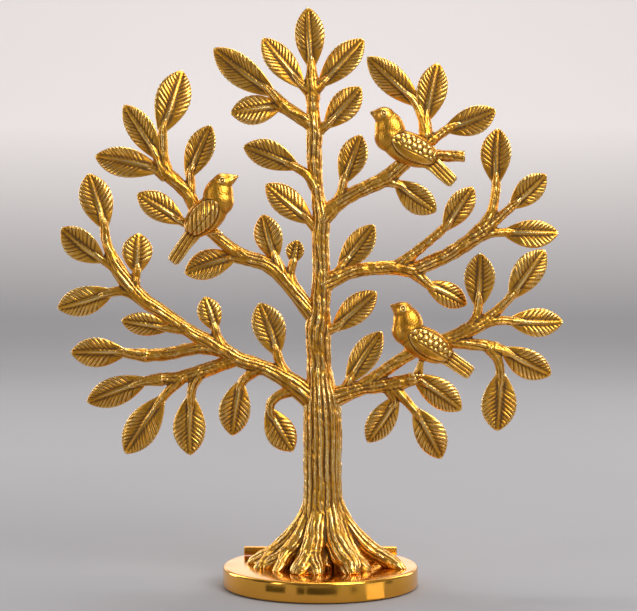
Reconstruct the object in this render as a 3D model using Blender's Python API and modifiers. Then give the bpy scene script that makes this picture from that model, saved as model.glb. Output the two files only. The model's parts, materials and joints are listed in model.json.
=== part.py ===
"""Tree of life: a cast brass tree with three birds and fifty leaves, on a round polished base.

The tree is built up from separate castings. The trunk with its roots stands on the base disc, the
leader plugs into the trunk, and every limb, spray and single leaf plugs into its parent with a peg in a
bored socket, where it is brazed. The birds are separate castings that saddle the limbs. Screws from
below hold the trunk and the rear bar to the base, and a felt pad covers them.

Run it with: blender --background --python part.py
Units are metres, +Z up. The front of the tree faces -Y. The origin is the middle of the felt's
underside. Lengths in the tables are millimetres, and MM turns them into metres.
"""

import math
from collections import namedtuple

import bmesh
import bpy
from mathutils import Matrix, Vector

MM = 0.001

# ---- driving dimensions, in millimetres ----
GAP = 0.3  # clearance left between two solids that touch on the real tree
BASE_RADIUS = 51.0
BASE_TOP = 11.0
BASE_BOTTOM = 0.5  # the felt stands this far proud of the disc
TOP_EDGE_RADIUS = 1.2
BOTTOM_EDGE_RADIUS = 0.8
FELT_RADIUS = 47.0
FELT_THICKNESS = 1.5
RECESS_RADIUS = FELT_RADIUS + 0.6
RECESS_CEILING = FELT_THICKNESS + GAP

TREE_FOOT = BASE_TOP + GAP
LEADER_SEAM = 115.0  # height where the leader meets the trunk casting
SPIGOT_RADIUS = 3.4
SPIGOT_LENGTH = 12.0

BLADE_THICKNESS = 2.6
STEM_RADIUS = 3.0
STEM_TIP_SHARE = 0.75  # a stem's radius at the blade, as a share of its radius at the limb
WEDGE_SHARE = 0.12  # how far back over its stem a blade begins, as a share of its length
RIB_SHARE = 0.34  # how far along the blade the stem runs on as its midrib
PEG_SHARE = 0.5  # a peg's radius, as a share of the radius of the wood it holds
PEG_INSET_SHARE = 0.3  # a peg stops this share of the parent's radius short of its middle
IN_LINE_PEG = 3.5  # how far a peg reaches back into wood that it continues
TUBE_STEP = 6.0  # spacing of a tube's rings
TUBE_SIDES_RESOLUTION = 2  # eight sides

BAR_LENGTH = 82.0
BAR_DEPTH = 4.0
BAR_HEIGHT = 4.4
BAR_Y = 28.0
BAR_SCREW_X = 30.0
BAR_SCREW_RADIUS = 1.1
BAR_SCREW_HEAD = (2.3, 1.5)  # radius and height
BAR_SCREW_TOP = 14.6
SCREW_X = 1.5
SCREW_RADIUS = 2.3
SCREW_HEAD = (4.4, 2.8)
SCREW_TOP = 34.0
WASHER_RADIUS = 6.0
WASHER_FOOT = 5.2
DOWEL_X = -7.0
DOWEL_RADIUS = 1.5
DOWEL_FOOT = 6.0
DOWEL_TOP = 20.0

BRASS = ("tree_brass", (0.78, 0.52, 0.13, 1.0), 0.32, 1.0)
POLISHED = ("base_brass", (0.86, 0.62, 0.20, 1.0), 0.10, 1.0)
STEEL = ("screw_steel", (0.55, 0.55, 0.56, 1.0), 0.35, 1.0)
FELT = ("felt", (0.05, 0.09, 0.06, 1.0), 0.95, 0.0)

# ---- the tree's tables: (x, z, radius) along the wood, (x, z) along a stem ----
Leaf = namedtuple("Leaf", "stem tip width roll tilt", defaults=(0, 0))
Casting = namedtuple("Casting", "name parent lean wood leaves")
Bird = namedtuple("Bird", "name limb depth beak head breast rump tail_root tail_end tail_width foot")

TRUNK = [
    (1.3, 6, 13.2), (1.3, 24, 12.9), (1.3, 36, 11.4), (1.2, 47, 10.2), (1, 61, 9.9), (1, 81, 10.1),
    (0.9, 91, 9.9), (0.4, 99, 9), (-0.2, 107, 7.3), (-0.8, LEADER_SEAM, 6.4),
]
LEADER = [
    (-0.6, LEADER_SEAM - 3, 6.3), (-1, 125, 6.4), (-1.2, 136, 6.7), (-0.6, 146, 5.7), (0.4, 155, 5.1), (0.3, 169, 4.5),
    (0, 183, 4.7), (0.4, 193, 4.6), (-1.2, 203, 3.5), (-2.4, 213, 3.6), (-3.2, 223, 4), (-3.2, 237, 4.2),
    (-3.8, 247, 3.5), (-4, 255, 3.4),
]
# A root: its compass angle in degrees from +X, its reach from the trunk's axis, and its radius.
ROOTS = [
    (182, 37, 4.6), (204, 32, 4.2), (250, 29, 6), (306, 30, 6.5), (350, 42, 4.4), (28, 33, 4.2),
    (75, 21.5, 4.6), (140, 28, 4.6),
]
ROOT_HEIGHT = 42

CASTINGS = [
    Casting("crown_spray", "leader", 0, [
        [(-4, 253, 3.7), (-4.2, 259, 4.1), (-4.4, 265, 3.5)],
    ], [
        Leaf([(-4.3, 261), (-4.8, 273)], (-6.5, 301), 15.7, 4),
        Leaf([(-4.5, 257), (-11, 262.5)], (-30, 285.5), 15.2, -14, 0.12),
        Leaf([(-3.5, 258), (2, 263)], (22.5, 285), 15.7, 14, 0.12),
    ]),
    Casting("high_left_twig", "leader", 0.05, [
        [(-3.2, 239, 3.6), (-12, 245.5, 3.5), (-20, 250.5, 3.6)],
    ], [
        Leaf([(-19, 250), (-27, 258.8)], (-55.5, 280.3), 16.2, 12, 0.08),
        Leaf([(-17, 249.5), (-23, 250)], (-46.5, 246.5), 16.2, -12, -0.1),
    ]),
    Casting("high_right_leaf", "leader", -0.06, [], [
        Leaf([(-3, 236.5), (4.5, 241.5)], (21, 260), 15.2, 10),
    ]),
    Casting("upper_left_leaf", "leader", -0.05, [], [
        Leaf([(-2, 208), (-7, 215), (-14.5, 219.5)], (-40, 229.5), 15.2, 10),
    ]),
    Casting("middle_left_leaf", "leader", 0.05, [], [
        Leaf([(0, 185), (-7, 192)], (-28.5, 210), 15.2, -8),
    ]),
    Casting("upper_right_limb", "leader", -0.05, [
        [(0.3, 191, 4.7), (8, 199, 4.1), (16, 204.5, 3.8), (26, 209, 3.9), (34, 213, 4.2), (41, 219, 3.9),
         (48, 225, 3.6), (52, 229, 3.6)],
        [(49, 226, 3.2), (62, 224.5, 3.1), (74.5, 224.2, 2.9)],
    ], [
        Leaf([(9.5, 200), (11, 206), (12.5, 213)], (21, 235.5), 15.2, 12),
        Leaf([(34, 212), (41, 209.5)], (60, 195.5), 15.2, -10),
    ]),
    Casting("upper_right_spray", "upper_right_limb", 0.06, [
        [(51, 228, 3.5), (54, 232, 3.5), (55, 237, 3.4)],
    ], [
        Leaf([(54.5, 234), (52.5, 244), (48.5, 253)], (24, 275.5), 15.2, 12),
        Leaf([(54.8, 235), (54.5, 245)], (60.5, 272.5), 16.2, -6),
        Leaf([(54.5, 231), (61, 235), (67, 239)], (90.5, 248), 15.2, 10, -0.1),
    ]),
    Casting("right_limb", "leader", 0.05, [
        [(0.4, 157, 5.1), (8, 161.5, 4.4), (16, 164.5, 3.8), (28, 166.2, 3.6), (40, 166.5, 3.9),
         (48, 165.5, 4.1), (56, 168.5, 3.7)],
    ], [
        Leaf([(8, 161), (11.5, 168)], (28, 189), 14.7, 12),
        Leaf([(41, 167.5), (50, 175), (58, 181.5), (66, 188.5)], (79.5, 208.5), 14.2, -12),
        Leaf([(49, 164), (57, 157)], (76.5, 147), 13.2, 8, 0.1),
    ]),
    Casting("right_spray", "right_limb", 0.04, [
        [(55, 168.1, 3.9), (66, 173, 3.9), (76, 179, 4.1), (84, 185.5, 4.6)],
    ], [
        Leaf([(83, 185), (89, 195), (91, 205), (91.5, 213)], (92.3, 239), 16.2, 6),
        Leaf([(85, 186), (93, 192.5), (101, 199.5)], (117.5, 215), 14.7, -14),
        Leaf([(80, 182), (89, 184.5), (98, 184.8)], (124, 184.5), 15.2, 10, -0.08),
    ]),
    Casting("middle_right_leaf", "leader", -0.06, [], [
        Leaf([(-1, 132), (8.8, 136.2)], (29.3, 154.2), 14.7, 12),
    ]),
    Casting("lower_right_limb", "trunk_and_roots", -0.05, [
        [(1, 96, 6.1), (13, 101.3, 4.9), (22, 104.2, 4.1), (31, 105.3, 4), (38, 106, 4), (50, 109.3, 3.3)],
        [(20, 104, 3.5), (31, 111.5, 3.4), (42, 119, 3.4), (52, 125, 3.4), (62, 128.5, 3.4)],
    ], [
        Leaf([(13, 102), (16, 109.5)], (32, 133.5), 14.7, 12),
        Leaf([(46, 108.5), (51, 108.5)], (73.5, 92.5), 15.7, -10),
        Leaf([(35, 105), (38.5, 97)], (24.5, 75.5), 14.7, 10),
        Leaf([(37, 105), (45, 97), (50.5, 90.5)], (63, 67), 16.2, -10),
    ]),
    Casting("lower_right_spray", "lower_right_limb", 0.02, [
        [(61, 128.2, 3.6), (69, 130.5, 3.8), (77, 134.5, 4.1), (84, 138, 3.9)],
        [(65, 128.8, 3.5), (76, 127.3, 3.2), (85, 126.4, 3.2), (91, 124.8, 3.3)],
    ], [
        Leaf([(77, 134), (81, 141), (82, 149)], (82.5, 174.5), 16.2, 8, -0.12),
        Leaf([(82, 137), (91.45, 144.25), (100.4, 153.5)], (116.4, 176), 16.5, -10),
        Leaf([(82, 137.5), (91, 139.2), (100.5, 139)], (126, 138.5), 15.2, 12),
        Leaf([(90, 125), (97, 123)], (120, 111), 16.2, -12),
        Leaf([(88, 125.5), (92.5, 118), (93.6, 109)], (92, 81.5), 18.7, 4),
    ]),
    Casting("left_limb", "leader", 0.04, [
        [(-1, 138, 4.9), (-8, 147, 4.4), (-14, 155, 4.2), (-21, 163, 4.1), (-29, 168.7, 4),
         (-38, 171.5, 3.9), (-45, 175.5, 3.5), (-52, 181, 3.3), (-58, 186.5, 3.3), (-63, 191.5, 3.4)],
    ], [
        Leaf([(-20, 163), (-24, 173)], (-30, 194.3), 15.2, 8),
        Leaf([(-14, 155), (-15.5, 163), (-14, 170)], (-11.8, 181), 9.7, 0),
        Leaf([(-38, 171), (-46.5, 171.5)], (-70.8, 163.5), 15.7, -10),
    ]),
    Casting("left_spray", "left_limb", -0.05, [
        [(-62.5, 191, 3.25), (-65, 194.3, 3.4), (-65.8, 199, 3.6), (-69.3, 205.5, 3.6), (-74.8, 211, 3.7),
         (-80.8, 216, 3.8)],
    ], [
        Leaf([(-65, 194), (-68.4, 189.5), (-73.8, 191.5)], (-95.3, 205), 14.7, -10),
        Leaf([(-68.5, 203), (-67.4, 210), (-67.6, 216)], (-56.8, 240.5), 15.2, 12),
        Leaf([(-80, 214), (-86.8, 218)], (-117.3, 224.5), 16.2, -14, 0.1),
        Leaf([(-81, 215), (-85.3, 225.5)], (-101.8, 251), 14.7, 12),
        Leaf([(-79, 214), (-80.9, 222), (-81.7, 231), (-81.3, 240)], (-71.8, 269), 18.5, -8, 0.15),
    ]),
    Casting("lower_left_limb", "trunk_and_roots", -0.04, [
        [(0, 95, 6.7), (-11, 103.5, 5.7), (-19, 109.5, 4.7), (-27, 113.5, 4.2), (-35, 116.5, 4),
         (-43, 119.3, 4.1), (-50, 123.5, 4.1), (-58, 128.3, 3.9), (-66, 132.5, 3.7), (-75, 138.5, 3.6)],
    ], [
        Leaf([(-16, 108), (-20.6, 116), (-23.2, 124)], (-31.7, 148.5), 17.2, -6),
        Leaf([(-31, 114.5), (-38, 110), (-42, 104.5)], (-46, 79), 16.7, 6),
        Leaf([(-51, 124.5), (-53.8, 131), (-54.9, 136)], (-60.1, 151.7), 12.7, -10),
        Leaf([(-70, 135.5), (-81, 135.5)], (-103, 139.5), 12.7, 12, -0.12),
    ]),
    Casting("long_left_twig", "lower_left_limb", 0.04, [
        [(-51, 123.5, 3.7), (-60, 125, 3.5), (-70, 123.8, 3.4), (-80, 121.6, 3.4), (-92, 120.8, 3.3)],
    ], [
        Leaf([(-90, 120.9), (-104, 122.5)], (-130, 122.5), 16, 8),
    ]),
    Casting("lower_left_outer_spray", "lower_left_limb", -0.02, [
        [(-74, 137.8, 3.45), (-84, 144.8, 3.8), (-92, 150.5, 4), (-98, 156.5, 4.2), (-103, 163, 4),
         (-107.5, 171, 3.6)],
    ], [
        Leaf([(-95, 153), (-103, 154.8), (-110.5, 153.5)], (-136.5, 145.5), 15.7, 10, 0.08),
        Leaf([(-97, 155.5), (-95.8, 161), (-95, 166)], (-94, 184.8), 16.2, -14),
        Leaf([(-102, 162), (-108, 168), (-114.5, 172)], (-133.5, 187.5), 16.7, 12, -0.1),
        Leaf([(-107, 170), (-110.5, 180), (-112, 190)], (-119.8, 215.5), 17.2, -6),
    ]),
    Casting("lower_left_hanging_spray", "lower_left_limb", -0.06, [
        [(-44, 119, 3.7), (-52, 116.2, 3.6), (-62, 112.6, 3.8), (-74, 109.6, 3.3), (-84, 108.8, 3.1)],
    ], [
        Leaf([(-82, 108.8), (-93, 107.6)], (-121.3, 97), 15.7, 10),
        Leaf([(-72, 109.8), (-78, 103.5), (-84, 96.5)], (-101.5, 70), 17.7, -8),
        Leaf([(-63, 112), (-66.55, 104.5), (-67.4, 97)], (-67.8, 69), 17.2, 6),
    ]),
    Casting("curled_leaf", "lower_left_limb", -0.08, [], [
        Leaf([(-12, 103), (-20, 100.8), (-25.5, 96.5), (-26, 91)], (-14.3, 70.8), 15.7, 6),
    ]),
]

BIRDS = [
    Bird("upper_right_bird", "upper_right_limb", -5, (25.3, 246.8), (33, 244.8), (37, 231.5), (55, 224.5),
         (61, 221), (69, 210.5), 7, (42, 220)),
    Bird("lower_right_bird", "lower_right_limb", -5, (36, 147.5), (43, 144.2), (46, 131.5), (63, 123),
         (69, 119.5), (78.5, 111.5), 7.5, (50.5, 110.5)),
    Bird("left_bird", "left_limb", -5, (-42, 214.3), (-50.8, 210.5), (-53.5, 198.5), (-64.5, 188.5),
         (-70, 183.5), (-77, 169.5), 6.8, (-54, 184)),
]
BODY_HEIGHT = 17.5
BODY_DEPTH = 13.0
HEAD_RADIUS = 5.6
BIRD_PEG_RADIUS = 1.2


# ---- scene and material helpers ----
def clear_scene():
    for old in list(bpy.data.objects):
        bpy.data.objects.remove(old)


def new_collection(name, hidden=False):
    made = bpy.data.collections.new(name)
    bpy.context.scene.collection.children.link(made)
    made.hide_render = hidden
    return made


def material(spec):
    name, colour, roughness, metallic = spec
    found = bpy.data.materials.get(name)
    if found:
        return found
    made = bpy.data.materials.new(name)
    made.use_nodes = True
    shader = made.node_tree.nodes["Principled BSDF"]
    shader.inputs["Base Color"].default_value = colour
    shader.inputs["Roughness"].default_value = roughness
    shader.inputs["Metallic"].default_value = metallic
    return made


def place(name, mesh, collection, spec=None):
    """A mesh object in a collection, with its material. Helpers have none."""
    obj = bpy.data.objects.new(name, mesh)
    collection.objects.link(obj)
    if spec:
        mesh.materials.append(material(spec))
        mesh.shade_smooth()
        mesh.set_sharp_from_angle(angle=math.radians(40))
    else:
        obj.hide_render = True
        obj.display_type = "WIRE"
    return obj


def boolean(obj, operation, other):
    """Adds a Boolean modifier with one mesh object, or with every mesh of a collection."""
    modifier = obj.modifiers.new(operation.lower(), "BOOLEAN")
    modifier.operation = operation
    modifier.solver = "EXACT"
    if isinstance(other, bpy.types.Collection):
        modifier.operand_type = "COLLECTION"
        modifier.collection = other
    else:
        modifier.object = other
    return modifier


# ---- shapes ----
def smooth_route(points, step=TUBE_STEP):
    """Points on a Catmull-Rom curve through the given vectors, about step apart. Any dimension will do."""
    padded = [2 * points[0] - points[1], *points, 2 * points[-1] - points[-2]]
    found = [points[0]]
    for before, start, end, after in zip(padded, padded[1:], padded[2:], padded[3:], strict=False):
        count = max(1, round((end - start).length / step))
        for i in range(1, count + 1):
            t = i / count
            found.append(0.5 * (
                2 * start + (end - before) * t
                + (2 * before - 5 * start + 4 * end - after) * t ** 2
                + (3 * start - before - 3 * end + after) * t ** 3
            ))
    return found


def tube_mesh(name, route, grow=0.0):
    """A closed round tube along a route of (x, y, z, radius) in millimetres, grown outwards by grow."""
    curve = bpy.data.curves.new(name, "CURVE")
    curve.dimensions = "3D"
    curve.bevel_depth = MM
    curve.bevel_resolution = TUBE_SIDES_RESOLUTION
    curve.use_fill_caps = True
    spline = curve.splines.new("POLY")
    points = smooth_route([Vector(p) for p in route])
    if grow:
        first, last = (points[0] - points[1]).xyz.normalized(), (points[-1] - points[-2]).xyz.normalized()
        points[0] = points[0] + grow * first.to_4d() - Vector((0, 0, 0, grow))
        points[-1] = points[-1] + grow * last.to_4d() - Vector((0, 0, 0, grow))
    spline.points.add(len(points) - 1)
    for target, (x, y, z, radius) in zip(spline.points, points, strict=True):
        target.co = (x * MM, y * MM, z * MM, 1)
        target.radius = radius + grow
    guide = bpy.data.objects.new(name, curve)
    mesh = bpy.data.meshes.new_from_object(guide)
    bpy.data.objects.remove(guide)
    work = bmesh.new()
    work.from_mesh(mesh)
    bmesh.ops.remove_doubles(work, verts=work.verts, dist=1e-6)
    bmesh.ops.recalc_face_normals(work, faces=work.faces)
    work.to_mesh(mesh)
    work.free()
    return mesh


def blade_outline(t):
    """The half-width of a leaf blade, as a share of its widest, at t from base 0 to tip 1."""
    return (t + 0.12) ** 1.3 * max(1 - t, 0.0) ** 0.85 / 0.3


def blade_frame(base, tip, roll):
    """A matrix with X along the blade, Z out of its front face and the origin at its base."""
    along = (tip - base).normalized()
    front = Vector((0, -1, 0))
    front = (front - front.dot(along) * along).normalized()
    front = Matrix.Rotation(math.radians(roll), 3, along) @ front
    across = front.cross(along)
    frame = Matrix((along, across, front)).transposed().to_4x4()
    return Matrix.Translation(base) @ frame


def blade_mesh(name, base, tip, width, roll, grow=0.0):
    """A leaf blade: a sphere drawn out into a flat pointed oval. Points in millimetres."""
    work = bmesh.new()
    bmesh.ops.create_uvsphere(work, u_segments=8, v_segments=8, radius=1)
    length = (tip - base).length
    for vert in work.verts:
        around = Vector((vert.co.x, vert.co.y))
        turn = around.normalized() if around.length > 1e-4 else Vector((0, 0))
        t = (1 + vert.co.z) / 2
        half = blade_outline(t) if turn.length else 0
        vert.co = (
            length * t + grow * vert.co.z,
            turn.x * (half * width / 2 + grow),
            turn.y * (half ** 0.5 * BLADE_THICKNESS / 2 + grow),
        )
    bmesh.ops.transform(work, matrix=Matrix.Scale(MM, 4) @ blade_frame(base, tip, roll), verts=work.verts)
    bmesh.ops.recalc_face_normals(work, faces=work.faces)
    mesh = bpy.data.meshes.new(name)
    work.to_mesh(mesh)
    work.free()
    return mesh


def ball_mesh(name, centre, along, half_sizes, segments=(12, 8)):
    """An egg of three half-sizes (along, in depth, upwards), its first axis turned along a direction."""
    work = bmesh.new()
    bmesh.ops.create_uvsphere(work, u_segments=segments[0], v_segments=segments[1], radius=1)
    half_along, half_depth, half_up = half_sizes
    forward = along.normalized()
    depth = Vector((0, 1, 0))
    upward = forward.cross(depth).normalized()
    for vert in work.verts:
        x, y, z = vert.co
        vert.co = MM * (centre + forward * z * half_along + depth * y * half_depth + upward * x * half_up)
    bmesh.ops.recalc_face_normals(work, faces=work.faces)
    mesh = bpy.data.meshes.new(name)
    work.to_mesh(mesh)
    work.free()
    return mesh


def rod_mesh(name, start, end, radius_start, radius_end=None, sides=12):
    """A straight round rod or cone between two points in millimetres."""
    work = bmesh.new()
    axis = end - start
    bmesh.ops.create_cone(
        work, cap_ends=True, segments=sides, depth=axis.length * MM,
        radius1=radius_start * MM, radius2=(radius_start if radius_end is None else radius_end) * MM,
    )
    turn = axis.to_track_quat("Z", "Y").to_matrix().to_4x4()
    bmesh.ops.transform(work, matrix=Matrix.Translation((start + end) / 2 * MM) @ turn, verts=work.verts)
    mesh = bpy.data.meshes.new(name)
    work.to_mesh(mesh)
    work.free()
    return mesh


def turned(name, profile, spec, collection, steps=48):
    """A turned part about Z from a closed or axis-to-axis profile of (radius, height), in millimetres."""
    closed = profile[0][0] > 0
    verts = [(r * MM, 0, z * MM) for r, z in profile]
    edges = [(i, i + 1) for i in range(len(verts) - 1)] + ([(len(verts) - 1, 0)] if closed else [])
    mesh = bpy.data.meshes.new(name)
    mesh.from_pydata(verts, edges, [])
    obj = bpy.data.objects.new(name, mesh)
    collection.objects.link(obj)
    mesh.materials.append(material(spec))
    screw = obj.modifiers.new("turn", "SCREW")
    screw.axis = "Z"
    screw.steps = steps
    screw.render_steps = steps
    screw.use_merge_vertices = True
    screw.merge_threshold = 0.00001
    screw.use_normal_flip = True
    screw.use_smooth_shade = True
    return obj


def arc(centre_r, centre_z, radius, start_deg, end_deg, count=3):
    """Points of a quarter round in a turned profile."""
    angles = [math.radians(start_deg + (end_deg - start_deg) * i / count) for i in range(count + 1)]
    return [(centre_r + radius * math.cos(a), centre_z + radius * math.sin(a)) for a in angles]


# ---- the tree's layout ----
class Layout:
    """Where every casting lies: its joint, its depth in Y, and its wood and leaves as 3D routes."""

    def __init__(self):
        self.casting = {c.name: c for c in CASTINGS}
        self.start = {}
        for c in CASTINGS:
            x, z = c.wood[0][0][:2] if c.wood else c.leaves[0].stem[0]
            self.start[c.name] = (x, z)

    def depth(self, name, x, z):
        """The Y of a casting's centre plane at a point: limbs lean gently to the front or the back."""
        if name in ("leader", "trunk_and_roots"):
            return 0.0
        c = self.casting[name]
        x0, z0 = self.start[name]
        return self.depth(c.parent, x0, z0) + c.lean * math.hypot(x - x0, z - z0)

    def wood_route(self, name, wood):
        return [(x, self.depth(name, x, z), z, r) for x, z, r in wood]

    def leaf_ends(self, name, leaf):
        """The blade's base and tip as 3D points."""
        bx, bz = leaf.stem[-1]
        tx, tz = leaf.tip
        length = math.hypot(tx - bx, tz - bz)
        y = self.depth(name, bx, bz)
        base, tip = Vector((bx, y, bz)), Vector((tx, y + leaf.tilt * length, tz))
        return base.lerp(tip, -WEDGE_SHARE), tip

    def stem_route(self, name, leaf):
        """The stem from the limb to the blade, and on into it as the midrib."""
        base, tip = self.leaf_ends(name, leaf)
        count = len(leaf.stem)
        radii = [STEM_RADIUS * (1 - (1 - STEM_TIP_SHARE) * i / (count - 1)) for i in range(count)]
        route = [(x, self.depth(name, x, z), z, r) for (x, z), r in zip(leaf.stem, radii, strict=True)]
        rib_end = base.lerp(tip, RIB_SHARE)
        return [*route, (*rib_end, radii[-1] * 0.55)]

    def joint(self, name):
        """(point on the parent's line, direction of the peg, radius of the wood that it holds)."""
        c = self.casting[name]
        route = self.wood_route(name, c.wood[0]) if c.wood else self.stem_route(name, c.leaves[0])
        start, onward = Vector(route[0][:3]), Vector(route[1][:3])
        return start, (onward - start).normalized(), route[0][3]


def trunk_route():
    return [(x, 0.0, z, r) for x, z, r in TRUNK]


def leader_route():
    return [(x, 0.0, z, r) for x, z, r in LEADER]


def root_route(angle, reach, radius):
    """A root runs down out of the trunk, then out along the base, and ends in a blunt toe."""
    out = Vector((math.cos(math.radians(angle)), math.sin(math.radians(angle))))
    axis_x = TRUNK[1][0]
    shape = [(0.2, ROOT_HEIGHT, 0.6), (0.36, 30.0, 0.95), (0.6, 20.5, 1.0), (0.84, 14.4, 0.92), (1.02, 10.5, 0.6)]
    return [
        (axis_x + out.x * reach * share, out.y * reach * share, z, radius * swell)
        for share, z, swell in shape
    ]


def wood_meshes(layout, name, grow=0.0):
    """The meshes of a casting's wood, stems and blades, each a closed shell."""
    if name == "trunk_and_roots":
        roots = [tube_mesh(f"{name}_root", root_route(*root), grow) for root in ROOTS]
        return [tube_mesh(name, trunk_route(), grow), *roots]
    if name == "leader":
        return [tube_mesh(name, leader_route(), grow)]
    c = layout.casting[name]
    meshes = [tube_mesh(f"{name}_wood", layout.wood_route(name, wood), grow) for wood in c.wood]
    for leaf in c.leaves:
        meshes.append(tube_mesh(f"{name}_stem", layout.stem_route(name, leaf), grow))
        meshes.append(blade_mesh(f"{name}_blade", *layout.leaf_ends(name, leaf), leaf.width, leaf.roll, grow))
    return meshes


def helper_collection(name, meshes):
    made = new_collection(name, hidden=True)
    for mesh in meshes:
        place(f"{name}_shape", mesh, made)
    return made


class Tree:
    """Builds the castings, each as one object whose modifiers join, trim, peg and bore it."""

    def __init__(self, collection):
        self.collection = collection
        self.layout = Layout()
        self.sockets = {}
        self.trims = {}

    def trim(self, name):
        """A hidden collection with a casting grown by the gap, which trims what is joined to it."""
        if name not in self.trims:
            self.trims[name] = helper_collection(f"trim_{name}", wood_meshes(self.layout, name, GAP))
        return self.trims[name]

    def peg(self, name, parent, begin, end, radius):
        """The peg's mesh. Its socket is kept for the parent, a gap wider and deeper."""
        direction = (end - begin).normalized()
        socket = rod_mesh(f"socket_{name}", begin - direction * GAP, end, radius + GAP)
        self.sockets.setdefault(parent, []).append(socket)
        return rod_mesh(f"peg_{name}", begin, end, radius)

    def body(self, name):
        """A casting's shells joined into one solid."""
        meshes = wood_meshes(self.layout, name)
        obj = place(name, meshes[0], self.collection, BRASS)
        if len(meshes) > 1:
            boolean(obj, "UNION", helper_collection(f"shells_{name}", meshes[1:]))
        return obj

    def build_casting(self, c):
        obj = self.body(c.name)
        boolean(obj, "DIFFERENCE", self.trim(c.parent))
        start, direction, radius = self.layout.joint(c.name)
        parent_radius, at_end = self.seat(c.parent, start)
        inset = -IN_LINE_PEG if at_end else PEG_INSET_SHARE * parent_radius
        peg = self.peg(c.name, c.parent, start + direction * inset,
                       start + direction * (parent_radius + 2.2 * radius), PEG_SHARE * radius)
        boolean(obj, "UNION", helper_collection(f"pegs_{c.name}", [peg]))

    def seat(self, parent, point):
        """The radius of the parent's wood where a joint lies, and whether that is at the wood's end."""
        if parent == "trunk_and_roots":
            routes = [trunk_route()]
        elif parent == "leader":
            routes = [leader_route()]
        else:
            routes = [self.layout.wood_route(parent, wood) for wood in self.layout.casting[parent].wood]
        near = min((p for route in routes for p in route), key=lambda p: (Vector(p[:3]) - point).length)
        at_end = any((Vector(route[-1][:3]) - point).length < 3 for route in routes)
        return near[3], at_end

    def build_castings(self):
        for name in ("trunk_and_roots", "leader"):
            self.body(name)
        for c in CASTINGS:
            self.build_casting(c)
        self.fit_trunk()
        for bird in BIRDS:
            self.build_bird(bird)
        for parent, sockets in self.sockets.items():
            boolean(bpy.data.objects[parent], "DIFFERENCE", helper_collection(f"sockets_{parent}", sockets))

    def fit_trunk(self):
        """Cuts the trunk flat on the base, bores it for its screw and dowel, and plugs in the leader."""
        trunk = bpy.data.objects["trunk_and_roots"]
        ground = rod_mesh("ground", Vector((0, 0, -5)), Vector((0, 0, TREE_FOOT)), 70, sides=32)
        boolean(trunk, "DIFFERENCE", helper_collection("ground", [ground]))
        leader = bpy.data.objects["leader"]
        boolean(leader, "DIFFERENCE", self.trim("trunk_and_roots"))
        down = Vector((0, 0, -1))
        top = Vector((LEADER[0][0], 0, LEADER_SEAM + 3))
        spigot = rod_mesh("spigot", top, top + down * (SPIGOT_LENGTH + 3), SPIGOT_RADIUS)
        boolean(leader, "UNION", helper_collection("spigots", [spigot]))
        bore = rod_mesh("spigot_bore", top, top + down * (SPIGOT_LENGTH + 3 + GAP), SPIGOT_RADIUS + GAP)
        foot = Vector((SCREW_X, 0, TREE_FOOT - 1))
        screw_bore = rod_mesh("screw_bore", foot, Vector((SCREW_X, 0, SCREW_TOP + GAP)), SCREW_RADIUS + GAP)
        foot = Vector((DOWEL_X, 0, TREE_FOOT - 1))
        dowel_bore = rod_mesh("dowel_bore", foot, Vector((DOWEL_X, 0, DOWEL_TOP + GAP)), DOWEL_RADIUS + GAP)
        self.sockets.setdefault("trunk_and_roots", []).extend([bore, screw_bore, dowel_bore])

    def build_bird(self, bird):
        def at(point, depth=bird.depth):
            return Vector((point[0], depth, point[1]))

        limb_routes = [self.layout.wood_route(bird.limb, wood) for wood in self.layout.casting[bird.limb].wood]
        foot_y = min((p for route in limb_routes for p in route),
                     key=lambda p: math.hypot(p[0] - bird.foot[0], p[2] - bird.foot[1]))[1]
        beak, head, breast, rump = at(bird.beak), at(bird.head), at(bird.breast), at(bird.rump)
        centre = (breast + rump) / 2
        length = (rump - breast).length
        tail_root, tail_end = at(bird.tail_root), at(bird.tail_end, bird.depth + 1)
        foot = at(bird.foot, foot_y)
        body = ball_mesh("body", centre, rump - breast, (length / 2 + 6, BODY_DEPTH / 2, BODY_HEIGHT / 2), (16, 12))
        obj = place(bird.name, body, self.collection, BRASS)
        neck_centre = head.lerp(breast, 0.5) + (rump - breast).normalized()
        neck = ball_mesh("neck", neck_centre, head - breast, (10.0, 5.4, 7.6))
        skull = ball_mesh("skull", head, beak - head, (6.0, 4.6, 5.2))
        bill = rod_mesh("bill", head, beak, 3.2, 0.5, 10)
        tail = wedge_mesh("tail", rump.lerp(tail_root, -0.4), tail_end, bird.tail_width + 2.5, bird.tail_width)
        leg = rod_mesh("leg", foot, centre, 1.9)
        boolean(obj, "UNION", helper_collection(f"shells_{bird.name}", [neck, skull, bill, tail, leg]))
        for name in (bird.limb, *(c.name for c in CASTINGS if c.parent == bird.limb)):
            boolean(obj, "DIFFERENCE", self.trim(name))
        direction = (centre - foot).normalized()
        peg = self.peg(bird.name, bird.limb, foot - direction * 0.6, foot + direction * 7, BIRD_PEG_RADIUS)
        boolean(obj, "UNION", helper_collection(f"pegs_{bird.name}", [peg]))


def wedge_mesh(name, start, end, width_start, width_end, thick_start=5.0, thick_end=3.2):
    """A flat tapering bar with square edges, such as a tail. Points in millimetres."""
    work = bmesh.new()
    bmesh.ops.create_cube(work, size=1)
    forward = (end - start).normalized()
    depth = Vector((0, 1, 0))
    depth = (depth - depth.dot(forward) * forward).normalized()
    across = forward.cross(depth)
    for vert in work.verts:
        t = vert.co.x + 0.5
        width = width_start + (width_end - width_start) * t
        thick = thick_start + (thick_end - thick_start) * t
        vert.co = MM * (start.lerp(end, t) + across * vert.co.y * width + depth * vert.co.z * thick)
    bmesh.ops.recalc_face_normals(work, faces=work.faces)
    mesh = bpy.data.meshes.new(name)
    work.to_mesh(mesh)
    work.free()
    return mesh


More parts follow.
